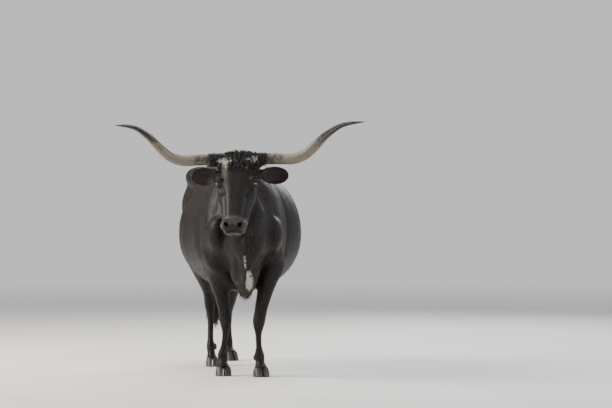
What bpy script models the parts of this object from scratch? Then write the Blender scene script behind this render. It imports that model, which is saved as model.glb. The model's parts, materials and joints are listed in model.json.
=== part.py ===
"""A Texas longhorn cow standing still at life size, in named closed solids.

Metres, +Z up. The animal faces -Y, and its left side is +X. Sizes are given from the point on
the floor midway between its fore feet, and finish() moves that point so that the model's box
has its bottom centre at the origin. The flesh is grown as one skin from lofts and masses,
worked over with a brush, and parted into nodes by thin cuts.
"""

import math
import random

import bmesh
import bpy
import numpy as np
from mathutils import Euler, Matrix, Vector
from mathutils.kdtree import KDTree

GAP = 0.0003
VOXEL = 0.005

# Head: its own frame hangs straight down, facing -Y, with the poll at its origin.
POLL = Vector((-0.070, -0.300, 1.335))
HEAD_YAW, HEAD_TILT, HEAD_ROLL = -16.0, -28.0, -1.0
HEAD = (
    Matrix.Translation(POLL)
    @ Matrix.Rotation(math.radians(HEAD_YAW), 4, "Z")
    @ Matrix.Rotation(math.radians(HEAD_ROLL), 4, "Y")
    @ Matrix.Rotation(math.radians(HEAD_TILT), 4, "X")
)
EYE = Vector((0.1060, 0.0430, -0.1810))
EYE_RADIUS = 0.0195
EYE_LOOK = Vector((0.80, -0.58, -0.06)).normalized()
EYE_TILT = 25.0
HORN_ROOT = Vector((0.2000, 0.0550, -0.0090))
HORN_RADIUS = 0.0330
EAR_ROOT = Vector((0.128, 0.112, -0.081))

# Body: stations from the breast to the buttock as y, top, height of the widest point, bottom,
# half width, and how far the middle leans to the animal's left, where the rumen lies.
TORSO = (
    (-0.270, 0.760, 0.680, 0.600, 0.050, 0.000),
    (-0.225, 0.890, 0.740, 0.550, 0.110, 0.000),
    (-0.150, 1.050, 0.820, 0.515, 0.165, 0.000),
    (0.000, 1.235, 0.860, 0.500, 0.225, 0.005),
    (0.120, 1.280, 0.860, 0.505, 0.260, 0.015),
    (0.280, 1.262, 0.850, 0.512, 0.305, 0.030),
    (0.450, 1.248, 0.840, 0.506, 0.361, 0.054),
    (0.600, 1.245, 0.835, 0.508, 0.381, 0.061),
    (0.750, 1.250, 0.840, 0.530, 0.356, 0.054),
    (0.880, 1.258, 0.880, 0.580, 0.290, 0.030),
    (1.000, 1.268, 0.940, 0.640, 0.235, 0.012),
    (1.140, 1.278, 1.000, 0.700, 0.215, 0.000),
    (1.270, 1.255, 1.020, 0.780, 0.175, 0.000),
    (1.340, 1.195, 1.040, 0.880, 0.125, 0.000),
    (1.368, 1.140, 1.050, 0.960, 0.070, 0.000),
)
# Neck: x, y, z of the middle, half width, height over and depth under it.
NECK = (
    (-0.064, -0.280, 1.165, 0.078, 0.120, 0.030),
    (-0.058, -0.205, 1.140, 0.094, 0.165, 0.115),
    (-0.044, -0.130, 1.100, 0.114, 0.185, 0.200),
    (-0.022, -0.040, 1.030, 0.145, 0.232, 0.305),
    (0.000, 0.080, 0.940, 0.190, 0.330, 0.370),
)
# Legs: the joints that each leg's middle line passes, and profiles shared by each pair as the
# place along the joints, half width, depth behind and depth in front.
FORE_JOINTS = {
    "right": ((-0.150, 0.075, 0.640), (-0.091, 0.092, 0.335), (-0.108, 0.100, 0.125), (-0.108, 0.060, 0.030)),
    "left": ((0.165, -0.035, 0.640), (0.097, -0.022, 0.335), (0.100, -0.014, 0.125), (0.106, -0.054, 0.030)),
}
FORE_PROFILE = (
    (-0.25, 0.074, 0.110, 0.095),
    (0.00, 0.070, 0.106, 0.090),
    (0.30, 0.060, 0.078, 0.068),
    (0.60, 0.047, 0.050, 0.048),
    (0.85, 0.040, 0.041, 0.041),
    (1.00, 0.041, 0.042, 0.044),
    (1.15, 0.034, 0.036, 0.037),
    (1.35, 0.023, 0.030, 0.025),
    (1.65, 0.021, 0.030, 0.023),
    (1.85, 0.027, 0.035, 0.028),
    (2.00, 0.033, 0.039, 0.033),
    (2.30, 0.030, 0.033, 0.030),
    (2.65, 0.040, 0.042, 0.042),
    (3.00, 0.044, 0.050, 0.054),
)
HIND_JOINTS = {
    "right": (
        (-0.172, 1.060, 0.860),
        (-0.150, 0.935, 0.660),
        (-0.070, 1.075, 0.400),
        (-0.076, 0.968, 0.125),
        (-0.070, 0.925, 0.030),
    ),
    "left": (
        (0.180, 1.120, 0.860),
        (0.205, 1.075, 0.650),
        (0.110, 1.390, 0.410),
        (0.105, 1.500, 0.125),
        (0.118, 1.458, 0.030),
    ),
}
HIND_PROFILE = (
    (0.00, 0.092, 0.170, 0.140),
    (0.60, 0.086, 0.165, 0.115),
    (1.00, 0.078, 0.150, 0.085),
    (1.35, 0.058, 0.102, 0.062),
    (1.70, 0.037, 0.052, 0.042),
    (1.90, 0.034, 0.040, 0.036),
    (2.05, 0.036, 0.042, 0.036),
    (2.25, 0.029, 0.034, 0.028),
    (2.45, 0.024, 0.029, 0.024),
    (2.75, 0.023, 0.028, 0.023),
    (2.90, 0.025, 0.033, 0.026),
    (3.02, 0.029, 0.036, 0.030),
    (3.30, 0.027, 0.031, 0.028),
    (3.65, 0.036, 0.039, 0.039),
    (4.00, 0.040, 0.046, 0.050),
)
HAMS = {
    "right": (
        (-0.100, 1.260, 1.080, 0.070, 0.085, 0.080),
        (-0.122, 1.190, 0.900, 0.090, 0.140, 0.110),
        (-0.136, 1.120, 0.740, 0.080, 0.125, 0.100),
        (-0.112, 1.085, 0.590, 0.052, 0.066, 0.060),
        (-0.076, 1.092, 0.450, 0.026, 0.026, 0.030),
    ),
    "left": (
        (0.100, 1.260, 1.080, 0.070, 0.085, 0.080),
        (0.122, 1.225, 0.900, 0.090, 0.120, 0.110),
        (0.136, 1.225, 0.740, 0.080, 0.108, 0.100),
        (0.126, 1.296, 0.590, 0.052, 0.058, 0.060),
        (0.114, 1.380, 0.455, 0.026, 0.026, 0.030),
    ),
}
# Feet: where each stands, how far its toes turn out, and the length and width of its hoof.
FEET = {
    "fore_right": ((-0.108, 0.057), 4.0, 0.112, 0.092),
    "fore_left": ((0.106, -0.057), 7.0, 0.112, 0.092),
    "hind_right": ((-0.070, 0.920), 5.0, 0.104, 0.080),
    "hind_left": ((0.118, 1.456), 16.0, 0.104, 0.080),
}
CORONET_FRONT, CORONET_HEEL = 0.066, 0.036

# Horn: reach outward, turn back, rise, and thickness against the root, from the root to the
# tip of the left horn. The right one is a little shorter and lower.
HORN = (
    (0.000, 0.000, 0.000, 1.00),
    (0.032, -0.005, 0.001, 1.00),
    (0.095, -0.021, -0.002, 0.99),
    (0.141, -0.033, 0.001, 0.97),
    (0.194, -0.043, 0.021, 0.94),
    (0.240, -0.047, 0.058, 0.90),
    (0.280, -0.045, 0.099, 0.80),
    (0.318, -0.039, 0.139, 0.70),
    (0.359, -0.029, 0.171, 0.58),
    (0.397, -0.019, 0.195, 0.46),
    (0.436, -0.007, 0.209, 0.38),
    (0.483, 0.007, 0.217, 0.27),
    (0.540, 0.021, 0.221, 0.07),
)
HORN_SCALE = {"left": (1.021, 0.945), "right": (1.000, 0.973)}

# Ear: share of its length, half height, how far the back bulges, and where the cup's floor is.
EAR_LENGTH = 0.165
EAR = (
    (0.00, 0.028, 0.026, -0.026),
    (0.10, 0.034, 0.031, -0.014),
    (0.24, 0.044, 0.038, 0.014),
    (0.42, 0.051, 0.040, 0.028),
    (0.60, 0.051, 0.035, 0.025),
    (0.78, 0.044, 0.025, 0.016),
    (0.91, 0.031, 0.014, 0.007),
    (1.00, 0.011, 0.005, -0.002),
)

# Tail: the middle line and radius, then the switch.
TAIL = (
    (0.000, 1.230, 1.215, 0.038),
    (0.000, 1.300, 1.246, 0.036),
    (0.000, 1.368, 1.240, 0.031),
    (0.002, 1.416, 1.165, 0.026),
    (0.003, 1.436, 1.030, 0.021),
    (0.004, 1.442, 0.880, 0.017),
    (0.005, 1.444, 0.740, 0.0145),
    (0.005, 1.444, 0.640, 0.0130),
    (0.005, 1.444, 0.600, 0.0120),
)
SWITCH_TOP, SWITCH_TIP = 0.640, 0.270
SWITCH_TIERS = ((0.600, 4, 0.200, 0.004), (0.530, 5, 0.190, 0.008), (0.440, 6, 0.170, 0.008))
# Poll tuft: rows by how far back and how high their roots lie, their count, length and span.
POLL_ROWS = (
    (0.080, 0.045, 4, 0.052, 0.074),
    (0.045, 0.050, 5, 0.058, 0.084),
    (0.010, 0.020, 5, 0.066, 0.072),
)

# Cuts, as corners in side view (y, z) going round, with the span across that each covers.
HEAD_CELL = ((-0.185, 1.700), (-1.000, 1.700), (-1.000, 0.760), (-0.490, 0.760), (-0.168, 1.052))
NECK_CELL = ((0.226, 1.700), (-0.900, 1.700), (-0.900, 0.560), (-0.389, 0.560))
TORSO_CELL = ((0.226, 1.700), (-0.389, 0.560), (-0.389, 0.300), (0.860, 0.300), (0.860, 1.700))
RUMP_CELL = ((0.860, 1.700), (0.860, 0.300), (1.700, 0.300), (1.700, 1.700))
TAIL_CELL = ((1.342, 1.700), (1.342, 1.190), (1.400, 1.100), (1.4035, 0.640), (1.600, 0.640), (1.600, 1.700))
ELBOW, KNEE, GASKIN, HOCK = 0.520, 0.292, 0.560, 0.330
FORE_SPANS = {"right": ((-0.400, -0.047), (0.000, 0.300)), "left": ((0.055, 0.400), (-0.115, 0.200))}
HIND_SPANS = {"right": ((-0.400, -0.012), (0.700, 1.300)), "left": ((0.030, 0.400), (0.900, 1.700))}

TAIL_SPAN = (-0.090, 0.060)

COLOURS = {
    "flesh": ((0.020, 0.016, 0.014), 0.55),
    "horn": ((0.62, 0.57, 0.47), 0.35),
    "hoof": ((0.035, 0.030, 0.028), 0.45),
    "eye": ((0.012, 0.008, 0.006), 0.08),
    "hair": ((0.015, 0.012, 0.011), 0.70),
}


def rows_between(rows, steps):
    """Fills in rows of numbers along a smooth curve, so that few stations give a round form."""
    rows = np.array(rows, dtype=float)
    last = len(rows) - 1
    filled = []
    for i in range(last):
        a, b, c, d = rows[max(i - 1, 0)], rows[i], rows[i + 1], rows[min(i + 2, last)]
        for t in np.arange(steps) / steps:
            filled.append(
                b
                + 0.5 * (c - a) * t
                + (a - 2.5 * b + 2.0 * c - 0.5 * d) * t**2
                + (1.5 * (b - c) + 0.5 * (d - a)) * t**3
            )
    filled.append(rows[last])
    return np.array(filled)


def loft(bm, rows, steps=4, sides=24, across=(1.0, 0.0, 0.0), power=2.0):
    """A closed tube through rows of x, y, z, half width, depth over and depth under."""
    rows = rows_between(rows, steps)
    ways = np.gradient(rows[:, :3], axis=0)
    rings = []
    for row, way in zip(rows, ways):
        way = Vector(way).normalized()
        side = Vector(across)
        side = (side - way * side.dot(way)).normalized()
        over = side.cross(way)
        ring = []
        for k in range(sides):
            angle = 2 * math.pi * k / sides
            c, s = math.cos(angle), math.sin(angle)
            x = math.copysign(abs(c) ** (2 / power), c) * row[3]
            y = math.copysign(abs(s) ** (2 / power), s) * (row[4] if s > 0 else row[5])
            ring.append(bm.verts.new(Vector(row[:3]) + side * x + over * y))
        rings.append(ring)
    for first, second in zip(rings, rings[1:]):
        for k in range(sides):
            bm.faces.new((first[k - 1], first[k], second[k], second[k - 1]))
    bm.faces.new(reversed(rings[0]))
    bm.faces.new(rings[-1])


def mass(bm, centre, radii, turn=(0.0, 0.0, 0.0), detail=3):
    """A rounded lump of flesh or bone, turned by degrees."""
    matrix = (
        Matrix.Translation(centre)
        @ Euler([math.radians(a) for a in turn]).to_matrix().to_4x4()
        @ Matrix.Diagonal((*radii, 1.0))
    )
    bmesh.ops.create_icosphere(bm, subdivisions=detail, radius=1.0, matrix=matrix)


def pair(bm, centre, radii, turn=(0.0, 0.0, 0.0)):
    """The same lump on both sides of the animal."""
    mass(bm, centre, radii, turn)
    x, y, z = centre
    mass(bm, (-x, y, z), radii, (turn[0], -turn[1], -turn[2]))


def along(joints, place):
    """The point at a place along a leg's joints, rounded through the joints."""
    rows = rows_between(joints, 8)
    place = min(max(place, 0.0), len(joints) - 1.0) * 8
    low = min(int(place), len(rows) - 2)
    return rows[low] + (rows[low + 1] - rows[low]) * (place - low)


def object_of(name, bm, material=None):
    """An object in the scene from a bmesh, which is freed."""
    bmesh.ops.recalc_face_normals(bm, faces=bm.faces)
    mesh = bpy.data.meshes.new(name)
    bm.to_mesh(mesh)
    bm.free()
    made = bpy.data.objects.new(name, mesh)
    bpy.context.scene.collection.objects.link(made)
    if material:
        mesh.materials.append(material_of(name, material))
    return made


def material_of(name, kind):
    colour, roughness = COLOURS[kind]
    material = bpy.data.materials.new(name)
    material.use_nodes = True
    shader = material.node_tree.nodes["Principled BSDF"]
    shader.inputs["Base Color"].default_value = (*colour, 1.0)
    shader.inputs["Roughness"].default_value = roughness
    shader.inputs["Metallic"].default_value = 0.0
    return material


def removed(made):
    mesh = made.data
    bpy.data.objects.remove(made)
    bpy.data.meshes.remove(mesh)


def applied(made):
    """Makes an object's modifiers real."""
    graph = bpy.context.evaluated_depsgraph_get()
    mesh = bpy.data.meshes.new_from_object(made.evaluated_get(graph))
    old = made.data
    made.modifiers.clear()
    made.data = mesh
    mesh.name = made.name
    bpy.data.meshes.remove(old)
    return made


def cut(made, other, operation="DIFFERENCE", solver="EXACT"):
    """Joins, parts or takes away one closed mesh, and removes it."""
    step = made.modifiers.new("cut", "BOOLEAN")
    step.operation = operation
    step.solver = solver
    step.object = other
    applied(made)
    removed(other)
    return made


def body_shape(bm):
    """Barrel, shoulders, hips and belly."""
    rows = [
        (lean, y, middle, half, top - middle, middle - bottom)
        for y, top, middle, bottom, half, lean in TORSO
    ]
    loft(bm, rows, sides=40, power=2.15)
    pair(bm, (0.148, 0.010, 0.985), (0.080, 0.125, 0.250), (-16, -14, 0))
    pair(bm, (0.160, -0.115, 0.850), (0.072, 0.086, 0.125), (20, 0, 0))
    pair(bm, (0.162, 0.035, 0.745), (0.080, 0.135, 0.140))
    pair(bm, (0.148, 0.955, 1.188), (0.092, 0.175, 0.072), (0, 12, -8))
    pair(bm, (0.082, 1.292, 1.115), (0.062, 0.080, 0.075))
    pair(bm, (0.158, 1.110, 0.960), (0.108, 0.190, 0.235), (-12, 6, 0))
    mass(bm, (0.0, 1.180, 1.225), (0.085, 0.190, 0.060), (-8, 0, 0))
    mass(bm, (0.0, 0.090, 1.225), (0.060, 0.160, 0.058))
    mass(bm, (-0.004, -0.140, 0.665), (0.098, 0.125, 0.150), (-14, 0, 0))
    mass(bm, (0.008, 0.000, 0.575), (0.052, 0.200, 0.092), (4, 0, 0))
    mass(bm, (0.010, 0.970, 0.600), (0.082, 0.105, 0.068), (-12, 0, 0))
    for x, y in ((0.042, 0.925), (-0.030, 0.930), (0.040, 1.000), (-0.028, 1.005)):
        mass(bm, (x, y, 0.535), (0.0125, 0.0125, 0.036), detail=2)


def neck_shape(bm):
    """Neck, and the dewlap that hangs from throat to brisket."""
    loft(bm, NECK, sides=32)
    mass(bm, (-0.044, -0.160, 0.900), (0.034, 0.085, 0.160), (22, 0, 0))
    mass(bm, (-0.020, -0.235, 0.730), (0.040, 0.085, 0.175), (8, 0, 0))
    mass(bm, (0.004, -0.180, 0.570), (0.050, 0.115, 0.080), (-24, 0, 0))


def leg_shape(bm, joints, profile):
    """One leg along its joints, open to more above the first joint."""
    rows = [(*along(joints, max(place, 0.0)), half, back, front) for place, half, back, front in profile]
    if profile[0][0] < 0:
        first = Vector(rows[0][:3]) + (Vector(joints[0]) - Vector(joints[1])) * -profile[0][0]
        rows[0] = (*first, *rows[0][3:])
    loft(bm, rows, sides=24)


def ham_shape(bm, side):
    """The muscle from the pin bone down to the back of the shin, drawn after the leg's step."""
    loft(bm, HAMS[side], sides=24)


def hock_shape(bm, joints):
    """The heel bone that sticks up behind the hock, and the tendon above it."""
    hock = Vector(joints[2])
    shin = (Vector(joints[1]) - hock).normalized()
    cannon = (hock - Vector(joints[3])).normalized()
    point = hock + cannon * 0.050 + Vector((0.0, 0.046, 0.0))
    high = hock + shin * 0.170 + Vector((0.0, 0.036, 0.010))
    rows = [
        (*(hock + Vector((0.0, 0.022, -0.012))), 0.022, 0.026, 0.026),
        (*point, 0.0165, 0.022, 0.026),
        (*(point.lerp(high, 0.35)), 0.0130, 0.016, 0.036),
        (*high, 0.020, 0.022, 0.044),
    ]
    loft(bm, rows, sides=16)


def head_shape(bm):
    """Skull, jaws, muzzle, orbits, and the stumps that carry horns and ears."""
    rows = (
        (0.0, 0.062, 0.016, 0.070, 0.030, 0.030),
        (0.0, 0.062, 0.000, 0.104, 0.054, 0.054),
        (0.0, 0.070, -0.050, 0.114, 0.095, 0.074),
        (0.0, 0.080, -0.110, 0.111, 0.125, 0.088),
        (0.0, 0.085, -0.170, 0.108, 0.135, 0.092),
        (0.0, 0.088, -0.230, 0.104, 0.130, 0.089),
        (0.0, 0.088, -0.290, 0.097, 0.110, 0.085),
        (0.0, 0.083, -0.350, 0.086, 0.086, 0.079),
        (0.0, 0.075, -0.405, 0.079, 0.068, 0.072),
        (0.0, 0.064, -0.445, 0.075, 0.058, 0.064),
        (0.0, 0.058, -0.480, 0.066, 0.052, 0.056),
        (0.0, 0.058, -0.503, 0.044, 0.036, 0.036),
    )
    made = bmesh.new()
    loft(made, rows, sides=32, power=2.3)
    pair(made, (0.066, 0.132, -0.205), (0.042, 0.074, 0.098), (0, 4, 0))
    pair(made, (0.052, 0.182, -0.190), (0.036, 0.048, 0.055))
    pair(made, (0.099, 0.037, -0.158), (0.034, 0.030, 0.026), (0, -12, 20))
    pair(made, EYE, (0.0255, 0.0255, 0.0255))
    pair(made, (0.086, 0.058, -0.228), (0.024, 0.028, 0.055), (0, 10, 0))
    pair(made, (0.050, 0.026, -0.458), (0.035, 0.034, 0.038))
    mass(made, (0.0, 0.036, -0.460), (0.084, 0.044, 0.044))
    mass(made, (0.0, 0.074, -0.488), (0.046, 0.040, 0.028), (14, 0, 0))
    mass(made, (0.0, 0.050, -0.003), (0.110, 0.048, 0.030))
    for side in (1, -1):
        stump = [
            (side * x, HORN_ROOT.y, HORN_ROOT.z, 0.037, 0.037, 0.037)
            for x in (0.06, 0.110, HORN_ROOT.x + 0.008)
        ]
        loft(made, stump, sides=20, across=(0, 1, 0))
        mass(made, (side * 0.106, 0.108, -0.090), (0.044, 0.034, 0.034))
    bmesh.ops.transform(made, matrix=HEAD, verts=made.verts)
    mesh = bpy.data.meshes.new("head shape")
    made.to_mesh(mesh)
    made.free()
    bm.from_mesh(mesh)
    bpy.data.meshes.remove(mesh)


def stroke(path, reach, push, frame=None):
    """A brush stroke on both sides of the animal: a positive push raises the skin."""
    strokes = []
    for side in (1, -1):
        line = [Vector((x * side, y, z)) for x, y, z in path]
        if frame:
            line = [frame @ point for point in line]
        strokes.append((line, reach, push))
        if all(abs(point[0]) < 1e-6 for point in path):
            break
    return strokes


def head_strokes():
    strokes = []
    for path, reach, push in (
        (((0.000, 0.026, -0.503), (0.036, 0.032, -0.499), (0.062, 0.050, -0.478), (0.076, 0.074, -0.453),
          (0.080, 0.096, -0.428)), 0.0065, -0.0100),
        (((0.000, 0.048, -0.512), (0.036, 0.054, -0.506), (0.060, 0.070, -0.479)), 0.0090, 0.0050),
        (((0.050, 0.004, -0.474), (0.062, 0.016, -0.460), (0.064, 0.030, -0.438)), 0.0070, -0.0060),
        (((0.033, 0.000, -0.220), (0.036, 0.002, -0.300), (0.040, 0.006, -0.400)), 0.0200, 0.0015),
        (((0.072, 0.030, -0.262), (0.064, 0.030, -0.320), (0.058, 0.028, -0.390)), 0.0180, -0.0080),
        (((0.105, 0.062, -0.222), (0.098, 0.066, -0.270), (0.089, 0.070, -0.300)), 0.0130, 0.0050),
        (((0.103, 0.020, -0.206), (0.086, 0.014, -0.236), (0.075, 0.014, -0.262)), 0.0110, -0.0060),
        (((0.095, 0.004, -0.164), (0.111, 0.017, -0.150), (0.123, 0.041, -0.146)), 0.0110, 0.0070),
        (((0.117, 0.066, -0.118), (0.115, 0.084, -0.140)), 0.0220, -0.0100),
        (((0.000, -0.014, -0.120), (0.000, -0.014, -0.190)), 0.0420, -0.0060),
        (((0.058, 0.215, -0.190), (0.050, 0.168, -0.330), (0.040, 0.130, -0.430)), 0.0130, 0.0050),
        (((0.086, 0.110, -0.290), (0.074, 0.105, -0.350)), 0.0200, -0.0080),
        (((0.094, 0.095, -0.150), (0.100, 0.110, -0.230), (0.088, 0.120, -0.290)), 0.0160, 0.0035),
        (((0.040, 0.150, -0.400), (0.056, 0.110, -0.420)), 0.0160, -0.0050),
        (((0.000, 0.020, 0.020), (0.050, 0.026, 0.016)), 0.0260, 0.0060),
    ):
        strokes += stroke(path, reach, push, HEAD)
    return strokes


def body_strokes():
    strokes = []
    for path, reach, push in (
        (((0.170, 0.190, 1.150), (0.240, 0.215, 0.940), (0.230, 0.190, 0.740)), 0.045, -0.014),
        (((0.100, 0.050, 1.220), (0.190, -0.030, 1.020), (0.210, -0.080, 0.880)), 0.040, 0.004),
        (((0.110, -0.130, 1.100), (0.130, -0.190, 0.950), (0.120, -0.240, 0.800)), 0.042, -0.011),
        (((0.205, 0.090, 0.640), (0.200, 0.120, 0.590)), 0.035, 0.010),
        (((0.190, -0.060, 0.640), (0.200, 0.000, 0.740)), 0.045, 0.010),
        (((0.230, 0.780, 1.120), (0.260, 0.800, 1.020)), 0.080, -0.022),
        (((0.215, 0.930, 1.140), (0.235, 0.940, 0.980), (0.225, 0.920, 0.780)), 0.045, 0.006),
        (((0.250, 0.840, 0.800), (0.220, 0.830, 0.680)), 0.040, -0.016),
        (((0.245, 1.140, 1.110), (0.265, 1.125, 1.030), (0.268, 1.110, 0.930)), 0.095, -0.040),
        (((0.235, 0.870, 0.740), (0.180, 0.840, 0.640)), 0.024, 0.014),
        (((0.220, 1.180, 1.080), (0.225, 1.190, 0.920), (0.190, 1.210, 0.740)), 0.030, -0.012),
        (((0.140, 0.990, 1.240), (0.160, 1.150, 1.180), (0.110, 1.270, 1.160)), 0.045, -0.010),
        (((0.000, 1.375, 1.080), (0.000, 1.375, 0.760)), 0.026, -0.022),
        (((0.030, 0.200, 1.270), (0.030, 0.600, 1.250), (0.030, 0.860, 1.260)), 0.030, -0.003),
        (((0.000, -0.300, 0.700), (0.000, -0.240, 0.560), (0.000, -0.060, 0.480)), 0.030, 0.014),
        (((0.060, -0.250, 0.720), (0.070, -0.220, 0.600)), 0.026, -0.010),
    ):
        strokes += stroke(path, reach, push)
    side = [Vector((-0.27, 0.35, 1.08)), Vector((-0.30, 0.56, 1.09)), Vector((-0.28, 0.74, 1.09))]
    strokes.append((side, 0.075, -0.018))
    for rib in range(8):
        y = 0.270 + rib * 0.066
        wave = 0.008 * math.sin(rib * 2.3)
        path = (
            (0.200, y, 1.160),
            (0.380, y + 0.020 + wave, 0.980),
            (0.420, y + 0.045, 0.760),
            (0.300, y + 0.050, 0.620),
        )
        strokes += stroke(path, 0.024, -0.0014 + 0.0008 * math.sin(rib * 1.7))
    for fold in range(5):
        y = -0.215 + fold * 0.036
        path = ((0.105, y, 1.120 - fold * 0.020), (0.120, y - 0.010, 0.980), (0.105, y - 0.045, 0.840))
        strokes += stroke(path, 0.010, -0.0060)
    return strokes


def leg_strokes():
    """Tendons, kneecaps and the points of the joints."""
    strokes = []
    for side, joints in FORE_JOINTS.items():
        sign = 1 if side == "left" else -1
        knee, fetlock = Vector(joints[1]), Vector(joints[2])
        for lean in (1, -1):
            high = knee + Vector((lean * 0.040, 0.012, -0.060))
            low = fetlock + Vector((lean * 0.040, 0.012, 0.045))
            strokes.append(([high, high.lerp(low, 0.5), low], 0.008, -0.0040))
        cap = [knee + Vector((0, -0.060, 0.012)), knee + Vector((0, -0.060, -0.020))]
        strokes.append((cap, 0.020, 0.0050))
        strokes.append(([knee + Vector((0, 0.060, 0.010)), knee + Vector((0, 0.060, 0.0))], 0.016, 0.0080))
        fore = knee + Vector((sign * 0.090, -0.010, 0.180))
        strokes.append(([fore, knee + Vector((sign * 0.060, -0.005, 0.060))], 0.012, -0.0050))
    for side, joints in HIND_JOINTS.items():
        hock, fetlock = Vector(joints[2]), Vector(joints[3])
        for lean in (1, -1):
            high = hock + Vector((lean * 0.040, 0.010, -0.070))
            low = fetlock + Vector((lean * 0.040, 0.012, 0.045))
            strokes.append(([high, high.lerp(low, 0.5), low], 0.008, -0.0040))
            dent = hock + Vector((lean * 0.050, 0.030, 0.045))
            strokes.append(([dent, dent + Vector((0, 0.004, 0.035))], 0.012, -0.0045))
    return strokes


def line_distance(points, line):
    """How far each point lies from a line of corners."""
    best = np.full(len(points), 1e9)
    for start, end in zip(line, line[1:]):
        start, way = np.array(start), np.array(end) - np.array(start)
        share = np.clip((points - start) @ way / max(way @ way, 1e-12), 0.0, 1.0)
        best = np.minimum(best, np.linalg.norm(points - start - share[:, None] * way, axis=1))
    return best


def brushed(made, strokes):
    """Lays each stroke on the nearest skin, and moves the skin along its own normals."""
    points = points_of(made)
    normals = np.empty(len(points) * 3)
    made.data.vertex_normals.foreach_get("vector", normals)
    normals = normals.reshape(-1, 3)
    tree = KDTree(len(points))
    for index, point in enumerate(points):
        tree.insert(point, index)
    tree.balance()
    moved = np.zeros(len(points))
    for path, reach, push in strokes:
        line = []
        for start, end in zip(path, path[1:]):
            count = max(1, int((end - start).length / 0.03))
            line += [tree.find(start.lerp(end, k / count))[0] for k in range(count)]
        line.append(tree.find(path[-1])[0])
        corners = np.array(line)
        span = reach * 2.5
        near = ((points > corners.min(axis=0) - span) & (points < corners.max(axis=0) + span)).all(axis=1)
        gap = line_distance(points[near], line)
        moved[near] += push * np.exp(-((gap / reach) ** 2))
    points += normals * moved[:, None]
    made.data.vertices.foreach_set("co", points.ravel())
    made.data.update()


def grown_skin(voxel):
    """The whole of the flesh as one closed skin."""
    bm = bmesh.new()
    body_shape(bm)
    neck_shape(bm)
    head_shape(bm)
    for side in ("right", "left"):
        leg_shape(bm, FORE_JOINTS[side], FORE_PROFILE)
        leg_shape(bm, HIND_JOINTS[side], HIND_PROFILE)
        ham_shape(bm, side)
        hock_shape(bm, HIND_JOINTS[side])
    tail_shape(bm)
    skin = object_of("skin", bm)
    step = skin.modifiers.new("fuse", "REMESH")
    step.mode = "VOXEL"
    step.voxel_size = voxel
    step.use_smooth_shade = True
    applied(skin)
    points = points_of(skin)
    soft = np.clip((points[:, 2] - 0.42) / 0.2, 0.06, 1.0)
    muzzle = HEAD @ Vector((0.0, 0.08, -0.30))
    near_head = np.linalg.norm(points - np.array(muzzle), axis=1)
    soft *= np.clip((near_head - 0.16) / 0.30, 0.08, 1.0)
    on_tail = (points[:, 1] > 1.385) & (points[:, 2] > 0.60) & (abs(points[:, 0]) < 0.040)
    soft[on_tail] = 0.03
    group = skin.vertex_groups.new(name="soft")
    for level in np.unique(np.round(soft, 2)):
        group.add(np.nonzero(np.round(soft, 2) == level)[0].tolist(), float(level), "REPLACE")
    step = skin.modifiers.new("soften", "SMOOTH")
    step.vertex_group = "soft"
    step.factor = 0.5
    step.iterations = 300
    applied(skin)
    brushed(skin, body_strokes() + leg_strokes() + head_strokes())
    return skin


def points_of(made):
    points = np.empty(len(made.data.vertices) * 3)
    made.data.vertices.foreach_get("co", points)
    return points.reshape(-1, 3)


def tail_shape(bm):
    loft(bm, [(x, y, z, r, r, r) for x, y, z, r in TAIL], sides=20)


def grown(corners, gap):
    """The corners of an outline moved outward by a gap. They run clockwise or the other way."""
    count = len(corners)
    area = sum(
        corners[i][0] * corners[(i + 1) % count][1] - corners[(i + 1) % count][0] * corners[i][1]
        for i in range(count)
    )
    turn = math.copysign(1.0, area)
    moved = []
    for i in range(count):
        here = Vector(corners[i])
        before = (here - Vector(corners[i - 1])).normalized()
        after = (Vector(corners[(i + 1) % count]) - here).normalized()
        out_before = Vector((before.y, -before.x)) * turn
        out_after = Vector((after.y, -after.x)) * turn
        mitre = (out_before + out_after) / (1.0 + out_before.dot(out_after))
        moved.append(here + mitre * gap)
    return moved


def prism(corners, span, gap, yaw=0.0):
    """A closed block over an outline in side view and a span across, grown by a gap."""
    bm = bmesh.new()
    low, high = span[0] - gap, span[1] + gap
    outline = grown(corners, gap)
    near = [bm.verts.new((low, y, z)) for y, z in outline]
    far = [bm.verts.new((high, y, z)) for y, z in outline]
    bm.faces.new(near)
    bm.faces.new(reversed(far))
    for i in range(len(near)):
        bm.faces.new((near[i - 1], near[i], far[i], far[i - 1]))
    bmesh.ops.rotate(bm, verts=bm.verts, cent=POLL, matrix=Matrix.Rotation(math.radians(yaw), 3, "Z"))
    return object_of("cell", bm)


def block(low, high):
    """The corners of a box in side view."""
    return ((low[0], low[1]), (high[0], low[1]), (high[0], high[1]), (low[0], high[1]))


def piece(skin, name, cell, span, budget, away=(), yaw=0.0):
    """One node of the flesh: the skin thinned out near its cell, then cut to the cell."""
    made = bpy.data.objects.new(name, skin.data.copy())
    made.data.name = name
    made.data.materials.append(material_of(name, "flesh"))
    bpy.context.scene.collection.objects.link(made)
    cut(made, prism(cell, span, 0.030, yaw), "INTERSECT", "MANIFOLD")
    made.data.calc_loop_triangles()
    step = made.modifiers.new("thin", "DECIMATE")
    step.ratio = min(1.0, budget / len(made.data.loop_triangles))
    applied(made)
    cut(made, prism(cell, span, -GAP / 2, yaw), "INTERSECT")
    for corners, width, turned in away:
        cut(made, prism(corners, width, GAP / 2, turned))
    return largest(made)


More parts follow.
